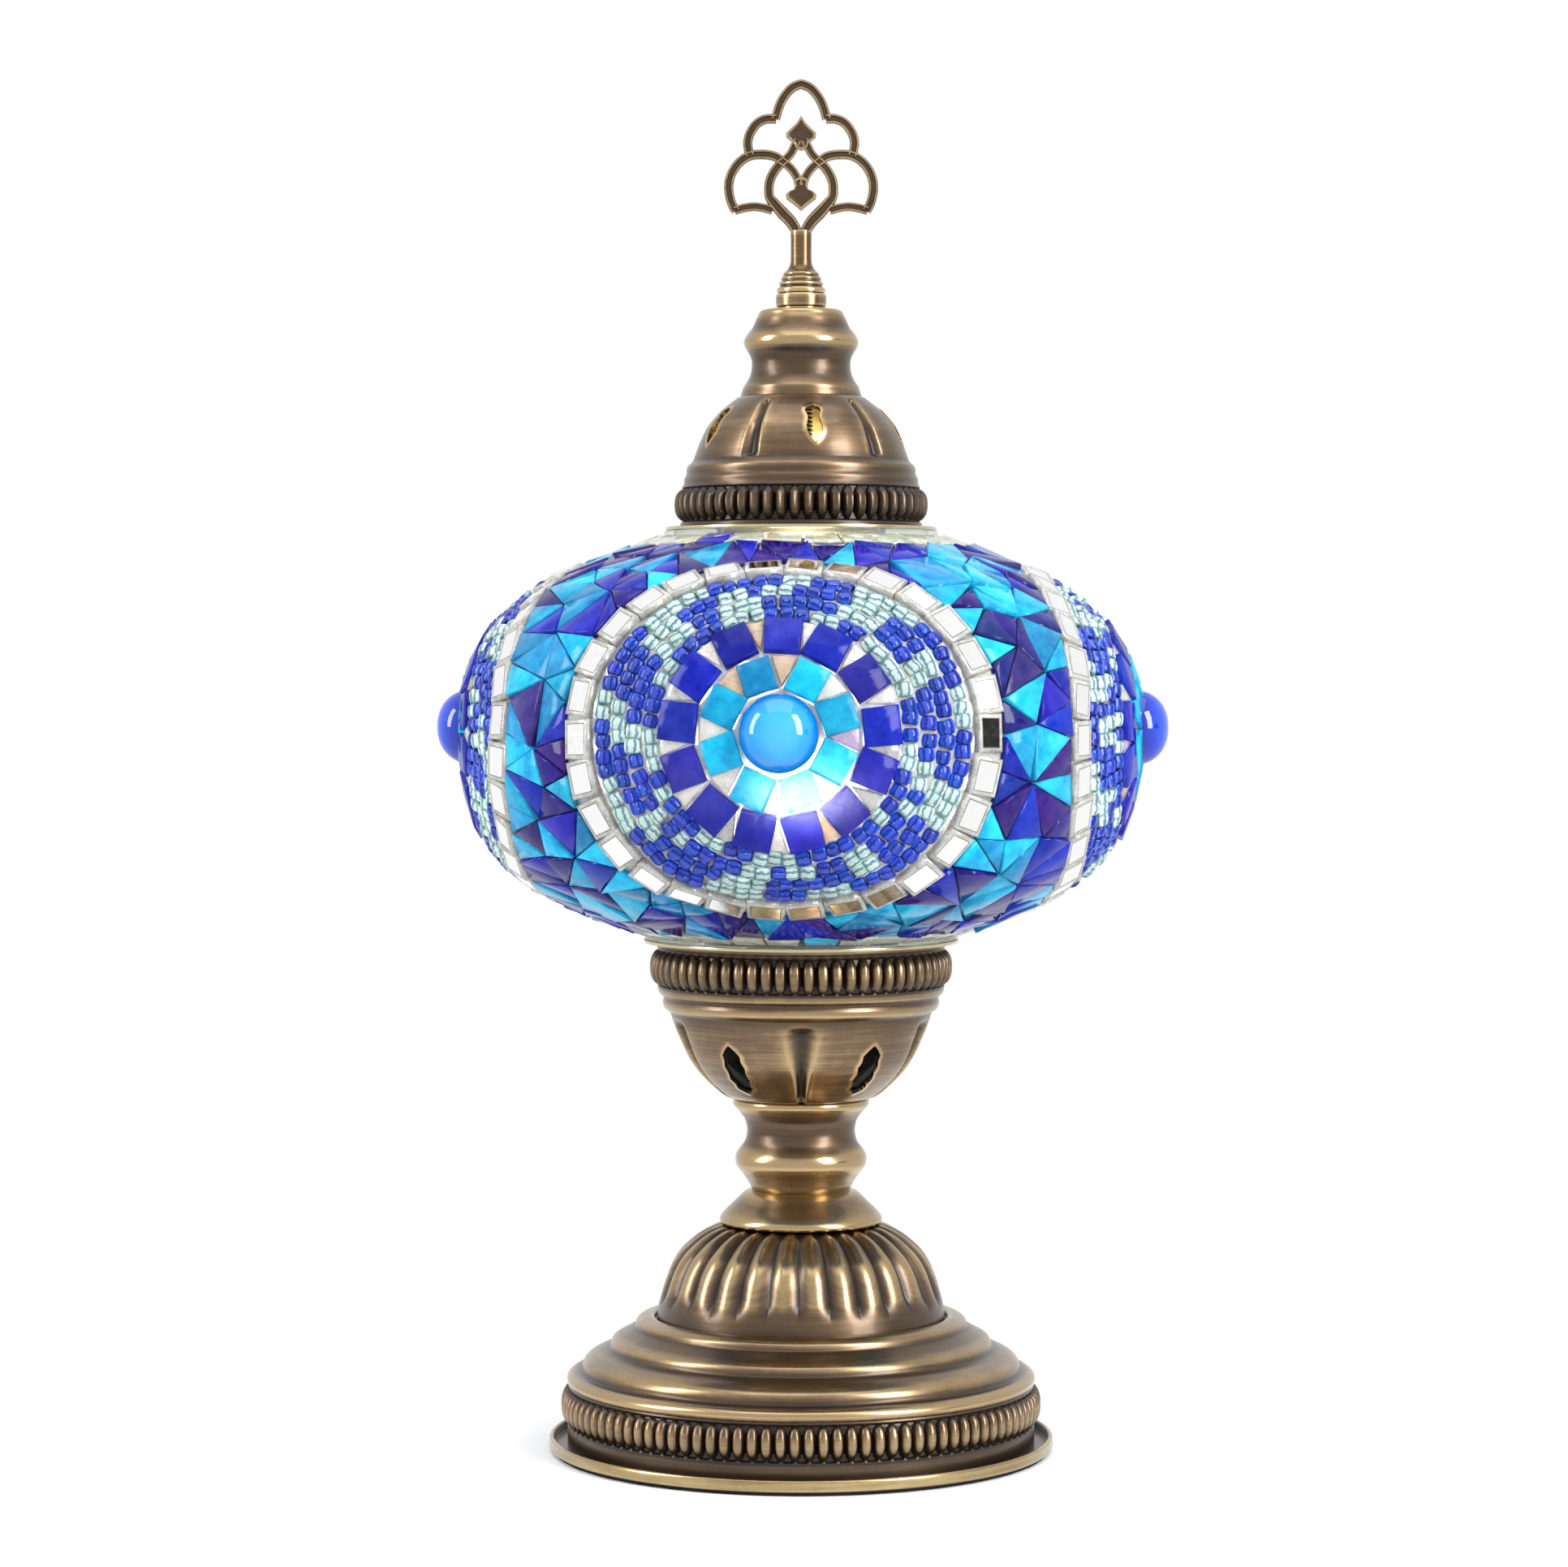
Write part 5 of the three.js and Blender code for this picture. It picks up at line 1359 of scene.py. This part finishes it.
# ------------------------------------------------------------------ finial
turned("finial_thin_washer", "finial_washer", [(3.45, 280.85), (5.5, 280.85), (5.5, 281.45), (3.45, 281.45)], "finial_washer", FINIAL, 72, 0.25, chamfer=0.1)
turned("finial_knurled_collar", "finial_collar", [(3.4, 281.5), (6.0, 281.5), (6.2, 281.9), (6.2, 284.4), (5.9, 284.8), (3.4, 284.8)], "finial", FINIAL, 120, 0.25, chamfer=0.2)
turned("finial_turned_stem", "finial_stem",
       [(0, 288.8, 1), (3.4, 288.8, 1), (3.4, 284.85, 1), (5.5, 284.85), (5.9, 285.1), (5.95, 285.7), (5.7, 286.2), (5.2, 286.45), (5.15, 286.7), (5.4, 287.0), (5.35, 287.5), (4.9, 287.8), (4.8, 288.1),
        (4.95, 288.4), (4.7, 288.9), (4.35, 289.2), (4.4, 289.7), (3.9, 290.2), (3.3, 290.8), (2.9, 291.5), (2.62, 292.4), (2.55, 294.0), (2.55, 298.0), (2.6, 300.2, 1), (2.2, 300.4, 1), (0, 300.4)],
       "finial", FINIAL, 96, 0.2, 0.7, 1.6)

K, Z0 = 0.0408, 341.6
STROKES = [
    ([(-9, 138.0), (0, 136.4), (52, 157), (97, 205), (130, 265), (147, 320), (154, 345)], 2.3),
    ([(150, 344), (210, 345), (262, 370), (303, 424), (320, 478), (317, 526), (308, 562)], 2.3),
    ([(108, 603), (155, 570), (235, 557), (308, 565), (366, 600), (412, 660), (434, 730), (431, 800), (412, 862), (392, 896)], 2.3),
    ([(400, 893), (350, 879), (290, 870), (230, 876), (172, 892)], 2.1),
    ([(108, 597), (155, 650), (186, 710), (194, 770), (188, 815), (160, 852), (114, 905), (64, 957), (33, 1006), (23, 1032), (20, 1060)],
     (2.3, 2.35, 2.35, 2.35, 2.4, 2.65, 3.05, 2.95, 2.7, 2.5, 2.4)),
    ([(20, 470), (38, 505), (62, 552), (112, 606)], 2.1),
    ([(112, 597), (58, 645), (26, 695), (12, 745)], 2.1),
]
SECT = [(-1.0, -0.62), (-0.86, -1.0), (-0.56, -1.06), (-0.36, -0.72), (0.36, -0.72), (0.56, -1.06), (0.86, -1.0), (1.0, -0.62)]
SECT = SECT + [(x, -y) for x, y in SECT[::-1]]
SREL = [0.30, 0.60, 0.84, 0.12, 0.12, 0.84, 0.60, 0.30] * 2
V, F4, REL, caps_f = [], [], [], []
cnt = 0
for flip in (1, -1):
    for k_, (pts, width) in enumerate(STROKES):
        C = curve_points([(x * K, Z0 - y * K) for x, y in pts], 0.35)
        Nn = left_normals(C)
        m = len(C)
        ns = len(SECT)
        along = np.concatenate([[0.0], np.cumsum(np.linalg.norm(np.diff(np.array(pts, float), axis=0), axis=1))])
        wide = np.interp(np.linspace(0, along[-1], m), along, np.broadcast_to(width, len(pts)))
        lift = 0.012 * (k_ + 1) + (0.006 if flip < 0 else 0)
        for j in range(m):
            for (sx, sy), rl in zip(SECT, SREL):
                p = C[j] + Nn[j] * sx * wide[j] / 2
                V.append((flip * p[0], sy * (1.0 - lift), p[1]))
                REL.append(rl)
        for j in range(m - 1):
            for i in range(ns):
                f = [cnt + j * ns + i, cnt + j * ns + (i + 1) % ns, cnt + (j + 1) * ns + (i + 1) % ns, cnt + (j + 1) * ns + i]
                F4.append(f if flip > 0 else f[::-1])
        for base_, rev in ((cnt, False), (cnt + (m - 1) * ns, True)):
            half = ns // 2
            for i in range(half - 1):
                f = [base_ + i, base_ + i + 1, base_ + ns - 2 - i, base_ + ns - 1 - i]
                if (rev == (flip > 0)):
                    f = f[::-1]
                F4.append(f[::-1])
        cnt += m * ns
for spade in ([(0, 325), (26, 366), (60, 400), (90, 428), (88, 456), (66, 474), (48, 486), (36, 520), (0, 534)],
              [(0, 895), (42, 858), (88, 824), (92, 796), (70, 776), (46, 768), (36, 740), (34, 700), (0, 686)]):
    R = [(x * K, Z0 - y * K) for x, y in spade]
    ring = R + [(-x, z) for x, z in R[1:-1][::-1]]
    ring = np.array(ring)
    if np.sum(ring[:, 0] * np.roll(ring[:, 1], -1) - np.roll(ring[:, 0], -1) * ring[:, 1]) < 0:
        ring = ring[::-1]
    c = ring.mean(0)
    levels = [(1.0, -0.60, 0.3), (0.95, -1.0, 0.80), (0.84, -1.0, 0.80), (0.76, -0.84, 0.12), (0.40, -0.86, 0.12)]
    k = len(ring)
    levs = levels + [(a, -b, r) for a, b, r in levels[::-1]]
    order = levels[::-1] + [(a, -b, r) for a, b, r in levels]
    for a, y, rl in order:
        for p in ring:
            q_ = c + (p - c) * a
            V.append((q_[0], y, q_[1]))
            REL.append(rl)
    for j in range(len(order) - 1):
        for i in range(k):
            F4.append([cnt + j * k + i, cnt + j * k + (i + 1) % k, cnt + (j + 1) * k + (i + 1) % k, cnt + (j + 1) * k + i])
    n0 = cnt + len(order) * k
    V += [(c[0], -0.88, c[1]), (c[0], 0.88, c[1])]
    REL += [0.14, 0.14]
    lastr = cnt + (len(order) - 1) * k
    for i in range(k):
        caps_f.append([cnt + (i + 1) % k, cnt + i, n0])
        caps_f.append([lastr + i, lastr + (i + 1) % k, n0 + 1])
    cnt = n0 + 2
pal = build("pierced_palmette", np.array(V), [np.array(caps_f), np.array(F4)], "finial", [FINIAL], ["finial_palmette"], {"relief": np.array(REL)}, True, 32)

# ------------------------------------------------------------------ floor, world and lights
fm, n = material("pale_floor")
co_ = n.object_coords()
a_ = n.noise(co_, 3.0, 3.0, 0.5)
near_ = n.principled(Base_Color=n.ramp(a_, [(0.3, (0.88, 0.88, 0.88)), (0.7, (0.90, 0.90, 0.90))]), Roughness=0.7)
near_.inputs["Specular IOR Level"].default_value = 0.2
far_ = n.new("ShaderNodeEmission")
n.put(far_.inputs[0], (1.0, 1.0, 1.0))
n.put(far_.inputs[1], 1.0)
mx_ = n.new("ShaderNodeMixShader")
fade_ = n.new("ShaderNodeMapRange", interpolation_type="SMOOTHERSTEP")
n.put(fade_.inputs[0], n.vec("LENGTH", co_))
for i_, x_ in zip((1, 2, 3, 4), (0.070, 0.26, 0.0, 1.0)):
    fade_.inputs[i_].default_value = x_
n.link(fade_.outputs[0], mx_.inputs[0])
n.link(near_.outputs[0], mx_.inputs[1])
n.link(far_.outputs[0], mx_.inputs[2])
n.out(mx_.outputs[0])
me = bpy.data.meshes.new("floor")
me.from_pydata([(-8, -8, 0), (8, -8, 0), (8, 8, 0), (-8, 8, 0)], [], [(0, 1, 2, 3)])
me.materials.append(fm)
floor = bpy.data.objects.new("floor", me)
scene.collection.objects.link(floor)

world = bpy.data.worlds.new("studio")
scene.world = world
world.use_nodes = True
n = Nodes(world.node_tree)
tc = n.new("ShaderNodeTexCoord")
sep = n.new("ShaderNodeSeparateXYZ")
n.put(sep.inputs[0], tc.outputs["Generated"])
up = n.range(sep.outputs[2], -0.1, 0.9, 0.94, 1.0)
lp = n.new("ShaderNodeLightPath")
flag_dir = n.vec("DISTANCE", tc.outputs["Generated"], (math.sin(math.radians(75)), -math.cos(math.radians(75)), -0.02))
flag = n.range(flag_dir, 0.16, 0.22, 0.03, 1.0)
strength = n.math("MAXIMUM", n.math("MULTIPLY", lp.outputs["Is Camera Ray"], 1.0), n.math("MULTIPLY", up, flag))
bg = n.new("ShaderNodeBackground")
n.put(bg.inputs[0], (1.0, 1.0, 1.0))
n.put(bg.inputs[1], strength)
wo = n.new("ShaderNodeOutputWorld")
n.link(bg.outputs[0], wo.inputs["Surface"])


def area(name, az, el, dist, w, h, power, target=(0, 0, 0.17), color=(1, 1, 1)):
    d = bpy.data.lights.new(name, "AREA")
    d.shape = "RECTANGLE"
    d.size, d.size_y = w, h
    d.energy = power
    d.color = color
    o = bpy.data.objects.new(name, d)
    scene.collection.objects.link(o)
    a, e = math.radians(az), math.radians(el)
    p = Vector(target) + dist * Vector((math.sin(a) * math.cos(e), -math.cos(a) * math.cos(e), math.sin(e)))
    o.location = p
    o.rotation_euler = (Vector(target) - p).to_track_quat("-Z", "Y").to_euler()
    return o


area("key_right", 50, 22, 1.5, 0.50, 1.3, 26)
area("fill_left", -75, 22, 1.5, 0.42, 1.2, 14)
area("top_soft", 0, 82, 1.6, 1.6, 1.6, 12)

pl = bpy.data.lights.new("lamp_light", "POINT")
pl.energy = 0.045
pl.color = (1.0, 0.90, 0.72)
pl.shadow_soft_size = 0.008
po = bpy.data.objects.new("lamp_light", pl)
scene.collection.objects.link(po)
po.location = (0.0, 0.0, 0.219)
